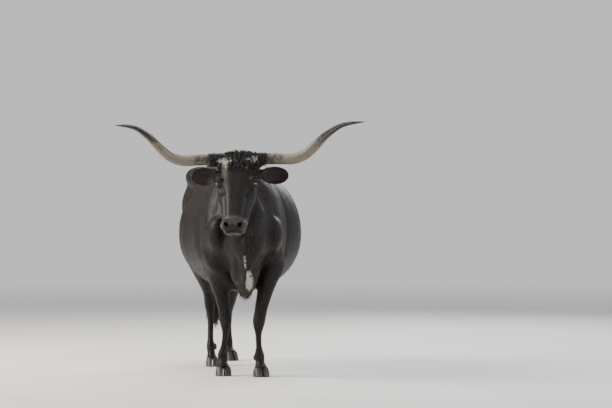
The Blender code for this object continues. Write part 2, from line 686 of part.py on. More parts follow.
def largest(made):
    """Keeps only the largest closed surface of a mesh, with its faces as triangles."""
    bm = bmesh.new()
    bm.from_mesh(made.data)
    bmesh.ops.triangulate(bm, faces=bm.faces[:])
    bmesh.ops.remove_doubles(bm, verts=bm.verts[:], dist=1e-6)
    left = set(bm.verts)
    groups = []
    while left:
        seed = left.pop()
        group, edge = {seed}, [seed]
        while edge:
            for link in edge.pop().link_edges:
                for vert in link.verts:
                    if vert in left:
                        left.discard(vert)
                        group.add(vert)
                        edge.append(vert)
        groups.append(group)
    groups.sort(key=len)
    loose = [vert for group in groups[:-1] for vert in group]
    bmesh.ops.delete(bm, geom=loose, context="VERTS")
    bm.to_mesh(made.data)
    bm.free()
    return made


def foot_frame(foot):
    (x, y), toes_out, _length, _width = FEET[foot]
    side = 1 if foot.endswith("left") else -1
    return Matrix.Translation((x, y, 0)) @ Matrix.Rotation(math.radians(toes_out * side), 4, "Z")


def coronet(foot, lift):
    """A block from the floor up to the slanted top of a hoof, in that foot's frame."""
    length = FEET[foot][2]
    half = length / 2
    slope = (CORONET_FRONT - CORONET_HEEL) / length
    corners = (
        (-0.200, -0.100),
        (0.200, -0.100),
        (0.200, CORONET_HEEL - slope * (0.200 - half) + lift),
        (-0.200, CORONET_FRONT + slope * (0.200 - half) + lift),
    )
    made = prism(corners, (-0.075, 0.075), 0.0)
    made.data.transform(foot_frame(foot))
    return made


def claws(foot):
    """The two halves of a cloven hoof, parted by the cleft and flat underneath."""
    _place, _toes, length, width = FEET[foot]
    half = length / 2
    for side, name in ((1, "outer"), (-1, "inner")):
        lean = side if foot.endswith("left") else -side
        bm = bmesh.new()
        rows = (
            (0.0, 0.004, 0.000, 0.98, 0.88, 1.00),
            (0.0, 0.004, 0.006, 1.00, 0.90, 1.00),
            (0.0, 0.007, 0.030, 0.96, 0.86, 0.83),
            (0.0, 0.012, 0.056, 0.86, 0.78, 0.62),
            (0.0, 0.018, 0.090, 0.74, 0.70, 0.42),
        )
        outline = [(x, y, z, w * width / 2, f * half, b * half) for x, y, z, w, b, f in rows]
        loft(bm, outline, steps=1, sides=18, power=2.35)
        made = object_of(f"claw_{foot}_{name}", bm, "hoof")
        cleft = prism(block((-0.3, -0.1), (0.3, 0.3)), (-0.3, 0.0018) if lean > 0 else (-0.0018, 0.3), 0.0)
        cut(made, cleft)
        heel = Matrix.Translation((0, half, 0))
        spread = heel @ Matrix.Rotation(math.radians(2.5 * lean), 4, "Z") @ heel.inverted()
        made.data.transform(foot_frame(foot) @ spread)
        made.data.update()
        cut(made, coronet(foot, -GAP), "INTERSECT")
        largest(made)


def dewclaw_rows(foot, side):
    """The small claws behind the fetlock, in the foot's frame."""
    high = 0.118 if foot.startswith("fore") else 0.122
    back = 0.070 if foot.startswith("fore") else 0.066
    return (
        (side * 0.015, back - 0.012, high + 0.014, 0.0075, 0.007, 0.007),
        (side * 0.018, back + 0.002, high + 0.004, 0.0105, 0.010, 0.010),
        (side * 0.021, back + 0.010, high - 0.012, 0.0090, 0.008, 0.008),
        (side * 0.022, back + 0.011, high - 0.022, 0.0030, 0.003, 0.003),
    )


def dewclaws(foot, cannon):
    for side, name in ((1, "outer"), (-1, "inner")):
        lean = side if foot.endswith("left") else -side
        for gap in (GAP, 0.0):
            bm = bmesh.new()
            rows = [(x, y, z, a + gap, b + gap, c + gap) for x, y, z, a, b, c in dewclaw_rows(foot, lean)]
            top, end = rows[0], rows[-1]
            rows[0] = (top[0], top[1] - gap, top[2] + gap, *top[3:])
            rows[-1] = (end[0], end[1], end[2] - gap, *end[3:])
            loft(bm, rows, steps=1, sides=8)
            bmesh.ops.transform(bm, matrix=foot_frame(foot), verts=bm.verts)
            if gap:
                cut(cannon, object_of("socket", bm))
            else:
                object_of(f"dewclaw_{foot}_{name}", bm, "hoof")
    largest(cannon)


def foot_cuts(foot, cannon):
    cut(cannon, coronet(foot, 0.0))
    dewclaws(foot, cannon)


def side_frame(side, root, level):
    """The head's frame at a root, mirrored for the right side, untilted if level."""
    mirror = Matrix.Diagonal((1 if side == "left" else -1, 1, 1, 1))
    frame = HEAD @ mirror @ Matrix.Translation(root)
    if level:
        frame = frame @ Matrix.Rotation(math.radians(-HEAD_TILT), 4, "X")
    return frame


def drum(frame, radius, reach, sides=24):
    """A closed cylinder that starts at a frame's origin and runs out along its X."""
    bm = bmesh.new()
    matrix = frame @ Matrix.Translation((reach / 2, 0, 0)) @ Matrix.Rotation(math.pi / 2, 4, "Y")
    bmesh.ops.create_cone(
        bm, cap_ends=True, segments=sides, radius1=radius, radius2=radius, depth=reach, matrix=matrix
    )
    return object_of("drum", bm)


def horn(side, head):
    frame = side_frame(side, HORN_ROOT, True)
    cut(head, drum(frame, 0.045, 0.120))
    reach, rise = HORN_SCALE[side]
    rows = [(x * reach, y, z * rise, *(HORN_RADIUS * r,) * 3) for x, y, z, r in HORN]
    rows[0] = (-0.030, *rows[0][1:])
    bm = bmesh.new()
    loft(bm, rows, steps=2, sides=12, across=(0, 1, 0))
    bmesh.ops.transform(bm, matrix=frame, verts=bm.verts)
    made = object_of(f"horn_{side}", bm, "horn")
    cut(made, drum(frame @ Matrix.Translation((-0.100, 0, 0)), 0.080, 0.100 + GAP))
    return largest(made)


def ear_mesh(side, steps, arc):
    """A leaf-shaped cup, open to the front, from a round root."""
    bm = bmesh.new()
    rings = []
    for share, half, back, floor in rows_between(EAR, steps):
        ring = []
        droop = -0.010 * share + 0.012 * share**2
        for k in range(arc + 1):
            angle = math.pi * (k / arc - 0.5)
            ring.append((share * EAR_LENGTH, back * math.cos(angle), half * math.sin(angle) + droop))
        for k in range(1, arc):
            angle = math.pi * (0.5 - k / arc)
            inner = half - 0.25 * abs(back - floor) * math.cos(angle)
            ring.append((share * EAR_LENGTH, floor * math.cos(angle), inner * math.sin(angle) + droop))
        rings.append([bm.verts.new(p) for p in ring])
    for first, second in zip(rings, rings[1:]):
        for k in range(len(first)):
            bm.faces.new((first[k - 1], first[k], second[k], second[k - 1]))
    bm.faces.new(rings[0])
    bm.faces.new(rings[-1])
    swing = Matrix.Rotation(math.radians(12), 4, "Z") @ Matrix.Rotation(math.radians(4), 4, "Y")
    frame = side_frame(side, EAR_ROOT + Vector((GAP, 0, 0)), True)
    for vert in bm.verts:
        bend = min(1.0, vert.co.x / 0.05)
        vert.co = vert.co.lerp(swing @ vert.co, bend)
    bmesh.ops.transform(bm, matrix=frame, verts=bm.verts)
    return bm


def ear(side, head):
    frame = side_frame(side, EAR_ROOT, True)
    cut(head, drum(frame, 0.040, 0.120))
    return object_of(f"ear_{side}", ear_mesh(side, 2, 8), "flesh")


def eye_frame(side):
    mirror = Matrix.Diagonal((1 if side == "left" else -1, 1, 1, 1))
    look = EYE_LOOK.to_track_quat("Z", "Y").to_matrix().to_4x4()
    return HEAD @ mirror @ Matrix.Translation(EYE) @ look


def eye(side, head):
    """An eyeball in its socket, behind an almond-shaped opening between the lids."""
    frame = eye_frame(side)
    for radius, name in ((EYE_RADIUS + GAP, "socket"), (EYE_RADIUS, f"eye_{side}")):
        bm = bmesh.new()
        bmesh.ops.create_uvsphere(bm, u_segments=14, v_segments=8, radius=radius, matrix=frame)
        if name == "socket":
            cut(head, object_of(name, bm))
        else:
            object_of(name, bm, "eye")
    bm = bmesh.new()
    rings = []
    for depth, size in ((0.004, 0.9), (0.040, 1.5)):
        ring = []
        for k in range(12):
            angle = 2 * math.pi * k / 12
            x = 0.0195 * size * math.cos(angle)
            y = 0.0125 * size * math.sin(angle) * abs(math.sin(angle)) ** 0.35
            ring.append(bm.verts.new((x, y, depth)))
        rings.append(ring)
    for k in range(12):
        bm.faces.new((rings[0][k - 1], rings[0][k], rings[1][k], rings[1][k - 1]))
    bm.faces.new(rings[0])
    bm.faces.new(rings[1])
    tilt = Matrix.Rotation(math.radians(EYE_TILT), 4, "Z")
    bmesh.ops.transform(bm, matrix=frame @ tilt, verts=bm.verts)
    cut(head, object_of("lids", bm))


def nostrils(head):
    for side in (1, -1):
        bm = bmesh.new()
        turn = (10, side * 38, side * -18)
        mass(bm, (side * 0.040, 0.002, -0.466), (0.0095, 0.026, 0.0150), turn, detail=2)
        bmesh.ops.transform(bm, matrix=HEAD, verts=bm.verts)
        cut(head, object_of("nostril", bm))


def lock(bm, root, way, length, width, fall, bend=0.0, sides=5):
    """One flat tapered lock of hair: it leaves its root one way and curves towards the fall."""
    way, fall = Vector(way).normalized(), Vector(fall)
    place = Vector(root)
    flat = way.cross(fall)
    if flat.length < 1e-4:
        flat = way.cross(Vector((0.3, 1.0, 0.2)))
    flat = Matrix.Rotation(bend, 3, way) @ flat.normalized()
    rings = []
    steps = 3
    for k in range(steps + 1):
        share = k / steps
        size = (0.66, 1.0, 0.78, 0.16)[k] * width / 2
        thick = (0.60, 0.62, 0.44, 0.12)[k] * width / 2
        up = flat.cross(way).normalized()
        ring = []
        for j in range(sides):
            angle = 2 * math.pi * j / sides
            ring.append(bm.verts.new(place + flat * size * math.cos(angle) + up * thick * math.sin(angle)))
        rings.append(ring)
        way = (way + fall * (0.9 * share + 0.12)).normalized()
        flat = (flat - way * flat.dot(way)).normalized()
        place = place + way * (length / steps)
    for first, second in zip(rings, rings[1:]):
        for j in range(sides):
            bm.faces.new((first[j - 1], first[j], second[j], second[j - 1]))
    bm.faces.new(rings[0])
    bm.faces.new(rings[-1])


def joined(made, bm_list):
    """Joins closed shapes to a node with one Boolean union on a collection of them."""
    group = bpy.data.collections.new("locks")
    bpy.context.scene.collection.children.link(group)
    parts = []
    for bm in bm_list:
        part = object_of("lock", bm)
        bpy.context.scene.collection.objects.unlink(part)
        group.objects.link(part)
        parts.append(part)
    step = made.modifiers.new("join", "BOOLEAN")
    step.operation = "UNION"
    step.operand_type = "COLLECTION"
    step.solver = "EXACT"
    step.collection = group
    applied(made)
    for part in parts:
        removed(part)
    bpy.data.collections.remove(group)
    return largest(made)


def skin_tree(made):
    points = points_of(made)
    tree = KDTree(len(points))
    for index, point in enumerate(points):
        tree.insert(point, index)
    tree.balance()
    return tree


def poll_tuft(head, tree, rng):
    """The mop between the horns, in rows from the back of the poll to the forehead."""
    turn = HEAD.to_3x3()
    shapes = []
    for row, (back, high, count, length, reach) in enumerate(POLL_ROWS):
        for k in range(count):
            share = (k + 0.5) / count * 2 - 1 + rng.uniform(-0.08, 0.08)
            place = HEAD @ Vector((share * reach, back, high))
            root, index, _gap = tree.find(place)
            normal = (place - HEAD @ Vector((0.0, 0.060, -0.060))).normalized()
            out = turn @ Vector((share * 0.9 + rng.uniform(-0.3, 0.3), -0.30 - 0.55 * row, 0.10))
            bm = bmesh.new()
            lock(
                bm,
                root - normal * 0.010,
                normal * 0.8 + out * 0.6,
                length * rng.uniform(0.85, 1.15),
                rng.uniform(0.040, 0.050),
                turn @ Vector((share * 0.35 + rng.uniform(-0.25, 0.25), -0.45, -0.85)),
                rng.uniform(-0.3, 0.3),
            )
            shapes.append(bm)
    return joined(head, shapes)


def switch_locks(made, rng):
    """Long hair round the end of the tail, in tiers that hang past one another."""
    shapes = []
    for high, count, length, radius in SWITCH_TIERS:
        for k in range(count):
            angle = 2 * math.pi * (k + rng.uniform(-0.25, 0.25)) / count + high * 9
            out = Vector((math.cos(angle), math.sin(angle), 0.0))
            bm = bmesh.new()
            lock(
                bm,
                Vector((0.005, 1.443, high)) + out * radius,
                Vector((0, 0, -1)) + out * rng.uniform(0.12, 0.32),
                length * rng.uniform(0.85, 1.1),
                rng.uniform(0.026, 0.034),
                Vector((0, 0, -0.6)) - out * 0.16,
                rng.uniform(-0.4, 0.4),
            )
            shapes.append(bm)
    return joined(made, shapes)


def brisket_tuft(torso, rng):
    """The wisps that hang at the lowest point of the brisket."""
    shapes = []
    for k in range(5):
        bm = bmesh.new()
        root = Vector((0.008 + rng.uniform(-0.012, 0.012), -0.150 + 0.016 * (k - 2), 0.520))
        way = Vector((rng.uniform(-0.2, 0.2), rng.uniform(-0.2, 0.1), -1.0))
        lock(bm, root, way, rng.uniform(0.050, 0.070), 0.018, Vector((0, 0, -0.3)), 0.3 * k)
        shapes.append(bm)
    return joined(torso, shapes)


def switch():
    rows = (
        (0.005, 1.444, SWITCH_TOP + 0.020, 0.0130, 0.0130, 0.0130),
        (0.005, 1.444, SWITCH_TOP - 0.010, 0.0132, 0.0132, 0.0132),
        (0.005, 1.444, 0.580, 0.0170, 0.0170, 0.0170),
        (0.005, 1.442, 0.480, 0.0220, 0.0220, 0.0220),
        (0.004, 1.440, 0.380, 0.0180, 0.0180, 0.0180),
        (0.002, 1.436, SWITCH_TIP + 0.030, 0.0050, 0.0050, 0.0050),
    )
    bm = bmesh.new()
    loft(bm, rows, steps=2, sides=14)
    made = object_of("tail_switch", bm, "hair")
    top = prism(block((1.2, SWITCH_TOP - GAP), (1.7, 1.0)), (-0.3, 0.3), 0.0)
    switch_locks(made, random.Random(7))
    cut(made, top)
    return largest(made)


def settled():
    """Moves every node so that the box of them all has its bottom centre at the origin."""
    nodes = [made for made in bpy.data.objects if made.type == "MESH"]
    corners = np.vstack([points_of(made) for made in nodes])
    low, high = corners.min(axis=0), corners.max(axis=0)
    home = Vector((-(low[0] + high[0]) / 2, -(low[1] + high[1]) / 2, -low[2]))
    for made in nodes:
        made.data.transform(Matrix.Translation(home))
    print("moved by", [round(v, 4) for v in home], "size", [round(v, 4) for v in high - low])


def main():
    for old in list(bpy.data.objects):
        bpy.data.objects.remove(old)
    skin = grown_skin(VOXEL)
    wide = (-0.700, 0.700)
    head_away = (HEAD_CELL, wide, HEAD_YAW)
    piece(skin, "neck", NECK_CELL, wide, 760, [head_away])
    head = piece(skin, "head", HEAD_CELL, wide, 2720, yaw=HEAD_YAW)
    fores = {side: block((reach[0], -0.3), (reach[1], ELBOW)) for side, (_span, reach) in FORE_SPANS.items()}
    fore_away = [(fores[side], FORE_SPANS[side][0], 0.0) for side in fores]
    piece(skin, "torso", TORSO_CELL, wide, 2140, [*fore_away, head_away])
    hinds = {side: block((reach[0], -0.3), (reach[1], GASKIN)) for side, (_span, reach) in HIND_SPANS.items()}
    hind_away = [(hinds[side], HIND_SPANS[side][0], 0.0) for side in hinds]
    piece(skin, "rump", RUMP_CELL, wide, 1500, [(TAIL_CELL, TAIL_SPAN, 0.0), *hind_away])
    piece(skin, "tail", TAIL_CELL, TAIL_SPAN, 250)
    for side in ("right", "left"):
        span, reach = FORE_SPANS[side]
        piece(skin, f"forearm_{side}", block((reach[0], KNEE), (reach[1], ELBOW)), span, 360)
        cannon = piece(skin, f"fore_cannon_{side}", block((reach[0], -0.3), (reach[1], KNEE)), span, 340)
        foot_cuts(f"fore_{side}", cannon)
        span, reach = HIND_SPANS[side]
        piece(skin, f"hind_leg_{side}", block((reach[0], HOCK), (reach[1], GASKIN)), span, 400)
        cannon = piece(skin, f"hind_cannon_{side}", block((reach[0], -0.3), (reach[1], HOCK)), span, 340)
        foot_cuts(f"hind_{side}", cannon)
        horn(side, head)
        ear(side, head)
        eye(side, head)
    nostrils(head)
    poll_tuft(head, skin_tree(skin), random.Random(3))
    brisket_tuft(bpy.data.objects["torso"], random.Random(5))
    for foot in FEET:
        claws(foot)
    switch()
    removed(skin)
    settled()


main()
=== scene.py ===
"""The looks of a Texas longhorn cow that stands still, at life size.

Metres, +Z up. Everything is made about the point on the floor midway between the fore feet,
facing -Y with the left side at +X, and home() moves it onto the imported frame. One skin is grown
from the same lofts and masses as the solids, and tufts of hair are set on it by Geometry Nodes.
"""

import json
import math
import random

import bmesh
import bpy
import numpy as np
from mathutils import Euler, Matrix, Vector, noise
from mathutils.bvhtree import BVHTree
from mathutils.kdtree import KDTree

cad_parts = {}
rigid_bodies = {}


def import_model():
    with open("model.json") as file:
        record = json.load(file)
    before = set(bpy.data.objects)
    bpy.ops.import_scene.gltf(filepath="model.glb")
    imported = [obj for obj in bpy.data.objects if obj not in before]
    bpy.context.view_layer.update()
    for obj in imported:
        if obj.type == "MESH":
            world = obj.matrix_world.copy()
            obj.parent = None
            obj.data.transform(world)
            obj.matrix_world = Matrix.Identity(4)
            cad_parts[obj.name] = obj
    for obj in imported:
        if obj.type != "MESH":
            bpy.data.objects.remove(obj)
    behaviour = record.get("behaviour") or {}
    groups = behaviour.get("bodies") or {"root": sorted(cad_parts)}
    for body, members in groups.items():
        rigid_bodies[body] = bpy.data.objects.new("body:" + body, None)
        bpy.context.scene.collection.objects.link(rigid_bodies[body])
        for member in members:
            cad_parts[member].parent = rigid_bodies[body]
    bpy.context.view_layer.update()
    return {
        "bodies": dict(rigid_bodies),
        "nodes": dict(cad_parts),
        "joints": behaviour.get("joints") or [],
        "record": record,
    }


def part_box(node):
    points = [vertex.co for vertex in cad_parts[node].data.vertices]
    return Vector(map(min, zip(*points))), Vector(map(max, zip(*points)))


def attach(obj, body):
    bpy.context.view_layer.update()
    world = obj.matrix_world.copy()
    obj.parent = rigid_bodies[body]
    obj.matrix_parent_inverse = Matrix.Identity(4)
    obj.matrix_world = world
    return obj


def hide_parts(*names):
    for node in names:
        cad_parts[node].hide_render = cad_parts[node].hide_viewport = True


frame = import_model()

# The flesh is fused on a fine grid, the skin drawn over it on a coarse one, under the hair.
VOXEL = 0.005
NET = 0.0140
COAT_DEPTH = 0.0022

# Head: its own frame hangs straight down, facing -Y, with the poll at its origin.
POLL = Vector((-0.070, -0.300, 1.335))
HEAD_YAW, HEAD_TILT, HEAD_ROLL = -16.0, -28.0, -1.0
HEAD = (
    Matrix.Translation(POLL)
    @ Matrix.Rotation(math.radians(HEAD_YAW), 4, "Z")
    @ Matrix.Rotation(math.radians(HEAD_ROLL), 4, "Y")
    @ Matrix.Rotation(math.radians(HEAD_TILT), 4, "X")
)
EYE = Vector((0.1060, 0.0430, -0.1810))
EYE_RADIUS = 0.0195
EYE_LOOK = Vector((0.80, -0.58, -0.06)).normalized()
EYE_TILT = 25.0
# Lids: their thickness, half the length of their opening, and its height above and below.
LID, LID_REACH, UPPER_LID, LOWER_LID = 0.0034, 0.0190, 0.0125, 0.0105
# The point of the left shoulder, where the raised line of the blade ends.
SHOULDER = Vector((0.220, -0.100, 0.950))
HORN_ROOT = Vector((0.2000, 0.0550, -0.0090))
HORN_RADIUS = 0.0330
EAR_ROOT = Vector((0.128, 0.112, -0.081))

# Body: stations from the breast to the buttock as y, top, height of the widest point, bottom,
# half width, and how far the middle leans to the animal's left, where the rumen lies.
TORSO = (
    (-0.270, 0.760, 0.680, 0.600, 0.050, 0.000),
    (-0.225, 0.890, 0.740, 0.550, 0.110, 0.000),
    (-0.150, 1.050, 0.820, 0.515, 0.165, 0.000),
    (0.000, 1.235, 0.860, 0.500, 0.225, 0.005),
    (0.120, 1.280, 0.860, 0.505, 0.260, 0.015),
    (0.280, 1.262, 0.850, 0.512, 0.305, 0.030),
    (0.450, 1.248, 0.840, 0.506, 0.361, 0.054),
    (0.600, 1.245, 0.835, 0.508, 0.381, 0.061),
    (0.750, 1.250, 0.840, 0.530, 0.356, 0.054),
    (0.880, 1.258, 0.880, 0.580, 0.290, 0.030),
    (1.000, 1.268, 0.940, 0.640, 0.235, 0.012),
    (1.140, 1.278, 1.000, 0.700, 0.215, 0.000),
    (1.270, 1.255, 1.020, 0.780, 0.175, 0.000),
    (1.340, 1.195, 1.040, 0.880, 0.125, 0.000),
    (1.368, 1.140, 1.050, 0.960, 0.070, 0.000),
)
# Neck: x, y, z of the middle, half width, height over and depth under it.
NECK = (
    (-0.064, -0.280, 1.165, 0.078, 0.120, 0.030),
    (-0.058, -0.205, 1.140, 0.094, 0.165, 0.115),
    (-0.044, -0.130, 1.100, 0.114, 0.185, 0.200),
    (-0.022, -0.040, 1.030, 0.145, 0.232, 0.305),
    (0.000, 0.080, 0.940, 0.190, 0.330, 0.370),
)
# Legs: the joints that each leg's middle line passes, and profiles shared by each pair as the
# place along the joints, half width, depth behind and depth in front.
FORE_JOINTS = {
    "right": ((-0.150, 0.075, 0.640), (-0.091, 0.092, 0.335), (-0.108, 0.100, 0.125), (-0.108, 0.060, 0.030)),
    "left": ((0.165, -0.035, 0.640), (0.097, -0.022, 0.335), (0.100, -0.014, 0.125), (0.106, -0.054, 0.030)),
}
FORE_PROFILE = (
    (-0.25, 0.074, 0.110, 0.095),
    (0.00, 0.070, 0.106, 0.090),
    (0.30, 0.060, 0.078, 0.068),
    (0.60, 0.047, 0.050, 0.048),
    (0.85, 0.040, 0.041, 0.041),
    (1.00, 0.041, 0.042, 0.044),
    (1.15, 0.034, 0.036, 0.037),
    (1.35, 0.023, 0.030, 0.025),
    (1.65, 0.021, 0.030, 0.023),
    (1.85, 0.027, 0.035, 0.028),
    (2.00, 0.033, 0.039, 0.033),
    (2.30, 0.030, 0.033, 0.030),
    (2.65, 0.040, 0.042, 0.042),
    (3.00, 0.044, 0.050, 0.054),
)
HIND_JOINTS = {
    "right": (
        (-0.172, 1.060, 0.860),
        (-0.150, 0.935, 0.660),
        (-0.070, 1.075, 0.400),
        (-0.076, 0.968, 0.125),
        (-0.070, 0.925, 0.030),
    ),
    "left": (
        (0.180, 1.120, 0.860),
        (0.205, 1.075, 0.650),
        (0.110, 1.390, 0.410),
        (0.105, 1.500, 0.125),
        (0.118, 1.458, 0.030),
    ),
}
HIND_PROFILE = (
    (0.00, 0.092, 0.170, 0.140),
    (0.60, 0.086, 0.165, 0.115),
    (1.00, 0.078, 0.150, 0.085),
    (1.35, 0.058, 0.102, 0.062),
    (1.70, 0.037, 0.052, 0.042),
    (1.90, 0.034, 0.040, 0.036),
    (2.05, 0.036, 0.042, 0.036),
    (2.25, 0.029, 0.034, 0.028),
    (2.45, 0.024, 0.029, 0.024),
    (2.75, 0.023, 0.028, 0.023),
    (2.90, 0.025, 0.033, 0.026),
    (3.02, 0.029, 0.036, 0.030),
    (3.30, 0.027, 0.031, 0.028),
    (3.65, 0.036, 0.039, 0.039),
    (4.00, 0.040, 0.046, 0.050),
)
HAMS = {
    "right": (
        (-0.100, 1.260, 1.080, 0.070, 0.085, 0.080),
        (-0.122, 1.190, 0.900, 0.090, 0.140, 0.110),
        (-0.136, 1.120, 0.740, 0.080, 0.125, 0.100),
        (-0.112, 1.085, 0.590, 0.052, 0.066, 0.060),
        (-0.076, 1.092, 0.450, 0.026, 0.026, 0.030),
    ),
    "left": (
        (0.100, 1.260, 1.080, 0.070, 0.085, 0.080),
        (0.122, 1.225, 0.900, 0.090, 0.120, 0.110),
        (0.136, 1.225, 0.740, 0.080, 0.108, 0.100),
        (0.126, 1.296, 0.590, 0.052, 0.058, 0.060),
        (0.114, 1.380, 0.455, 0.026, 0.026, 0.030),
    ),
}
# Feet: where each stands, how far its toes turn out, and the length and width of its hoof.
FEET = {
    "fore_right": ((-0.108, 0.057), 4.0, 0.112, 0.092),
    "fore_left": ((0.106, -0.057), 7.0, 0.112, 0.092),
    "hind_right": ((-0.070, 0.920), 5.0, 0.104, 0.080),
    "hind_left": ((0.118, 1.456), 16.0, 0.104, 0.080),
}
CORONET_FRONT, CORONET_HEEL = 0.066, 0.036

# Horn: reach outward, turn back, rise, and thickness against the root, from the root to the
# tip of the left horn. The right one reaches a little less and rises more.
HORN = (
    (0.000, 0.000, 0.000, 1.00),
    (0.032, -0.005, 0.001, 1.00),
    (0.095, -0.021, -0.002, 0.99),
    (0.141, -0.033, 0.001, 0.97),
    (0.194, -0.043, 0.021, 0.94),
    (0.240, -0.047, 0.058, 0.90),
    (0.280, -0.045, 0.099, 0.80),
    (0.318, -0.039, 0.139, 0.70),
    (0.359, -0.029, 0.171, 0.58),
    (0.397, -0.019, 0.195, 0.46),
    (0.436, -0.007, 0.209, 0.38),
    (0.483, 0.007, 0.217, 0.27),
    (0.540, 0.021, 0.221, 0.07),
)
HORN_SCALE = {"left": (1.021, 0.945), "right": (1.000, 0.973)}

# Ear: share of its length, half height, how far the back bulges, and where the cup's floor is.
EAR_LENGTH = 0.165
EAR = (
    (0.00, 0.028, 0.026, -0.026),
    (0.10, 0.034, 0.031, -0.014),
    (0.24, 0.044, 0.038, 0.014),
    (0.42, 0.051, 0.040, 0.028),
    (0.60, 0.051, 0.035, 0.025),
    (0.78, 0.044, 0.025, 0.016),
    (0.91, 0.031, 0.014, 0.007),
    (1.00, 0.011, 0.005, -0.002),
)

# Tail: the middle line and radius, then the switch.
TAIL = (
    (0.000, 1.230, 1.215, 0.038),
    (0.000, 1.300, 1.246, 0.036),
    (0.000, 1.368, 1.240, 0.031),
    (0.002, 1.416, 1.165, 0.026),
    (0.003, 1.436, 1.030, 0.021),
    (0.004, 1.442, 0.880, 0.017),
    (0.005, 1.444, 0.740, 0.0145),
    (0.005, 1.444, 0.640, 0.0130),
    (0.005, 1.444, 0.600, 0.0120),
)
SWITCH_TOP, SWITCH_TIP = 0.640, 0.270

# Brush strokes: a path, how far it reaches, and how far it pushes. These are in the head's frame.
HEAD_STROKES = (
    (((0.000, 0.026, -0.503), (0.036, 0.032, -0.499), (0.062, 0.050, -0.478), (0.076, 0.074, -0.453),
      (0.080, 0.096, -0.428)), 0.0065, -0.0100),
    (((0.000, 0.048, -0.512), (0.036, 0.054, -0.506), (0.060, 0.070, -0.479)), 0.0090, 0.0050),
    (((0.050, 0.004, -0.474), (0.062, 0.016, -0.460), (0.064, 0.030, -0.438)), 0.0070, -0.0060),
    (((0.033, 0.000, -0.220), (0.036, 0.002, -0.300), (0.040, 0.006, -0.400)), 0.0200, 0.0015),
    (((0.072, 0.030, -0.262), (0.064, 0.030, -0.320), (0.058, 0.028, -0.390)), 0.0180, -0.0080),
    (((0.105, 0.062, -0.222), (0.098, 0.066, -0.270), (0.089, 0.070, -0.300)), 0.0130, 0.0050),
    (((0.103, 0.020, -0.206), (0.086, 0.014, -0.236), (0.075, 0.014, -0.262)), 0.0110, -0.0060),
    (((0.095, 0.004, -0.164), (0.111, 0.017, -0.150), (0.123, 0.041, -0.146)), 0.0110, 0.0070),
    (((0.117, 0.066, -0.118), (0.115, 0.084, -0.140)), 0.0220, -0.0100),
    (((0.000, -0.014, -0.120), (0.000, -0.014, -0.190)), 0.0420, -0.0060),
    (((0.058, 0.215, -0.190), (0.050, 0.168, -0.330), (0.040, 0.130, -0.430)), 0.0130, 0.0050),
    (((0.086, 0.110, -0.290), (0.074, 0.105, -0.350)), 0.0200, -0.0080),
    (((0.094, 0.095, -0.150), (0.100, 0.110, -0.230), (0.088, 0.120, -0.290)), 0.0160, 0.0035),
    (((0.040, 0.150, -0.400), (0.056, 0.110, -0.420)), 0.0160, -0.0050),
    (((0.000, 0.020, 0.020), (0.050, 0.026, 0.016)), 0.0260, 0.0060),
)
# Shoulder, flank, hip and brisket.
BODY_STROKES = (
    (((0.170, 0.190, 1.150), (0.240, 0.215, 0.940), (0.230, 0.190, 0.740)), 0.045, -0.014),
    (((0.100, 0.050, 1.220), (0.190, -0.030, 1.020), (0.210, -0.080, 0.880)), 0.040, 0.004),
    (((0.110, -0.130, 1.100), (0.130, -0.190, 0.950), (0.120, -0.240, 0.800)), 0.042, -0.011),
    (((0.205, 0.090, 0.640), (0.200, 0.120, 0.590)), 0.035, 0.010),
    (((0.190, -0.060, 0.640), (0.200, 0.000, 0.740)), 0.045, 0.010),
    (((0.230, 0.780, 1.120), (0.260, 0.800, 1.020)), 0.080, -0.022),
    (((0.215, 0.930, 1.140), (0.235, 0.940, 0.980), (0.225, 0.920, 0.780)), 0.045, 0.006),
    (((0.250, 0.840, 0.800), (0.220, 0.830, 0.680)), 0.040, -0.016),
    (((0.245, 1.140, 1.110), (0.265, 1.125, 1.030), (0.268, 1.110, 0.930)), 0.095, -0.040),
    (((0.235, 0.870, 0.740), (0.180, 0.840, 0.640)), 0.024, 0.014),
    (((0.220, 1.180, 1.080), (0.225, 1.190, 0.920), (0.190, 1.210, 0.740)), 0.030, -0.012),
    (((0.140, 0.990, 1.240), (0.160, 1.150, 1.180), (0.110, 1.270, 1.160)), 0.045, -0.010),
    (((0.000, 1.375, 1.080), (0.000, 1.375, 0.760)), 0.026, -0.022),
    (((0.030, 0.200, 1.270), (0.030, 0.600, 1.250), (0.030, 0.860, 1.260)), 0.030, -0.003),
    (((0.000, -0.300, 0.700), (0.000, -0.240, 0.560), (0.000, -0.060, 0.480)), 0.030, 0.014),
    (((0.060, -0.250, 0.720), (0.070, -0.220, 0.600)), 0.026, -0.010),
)
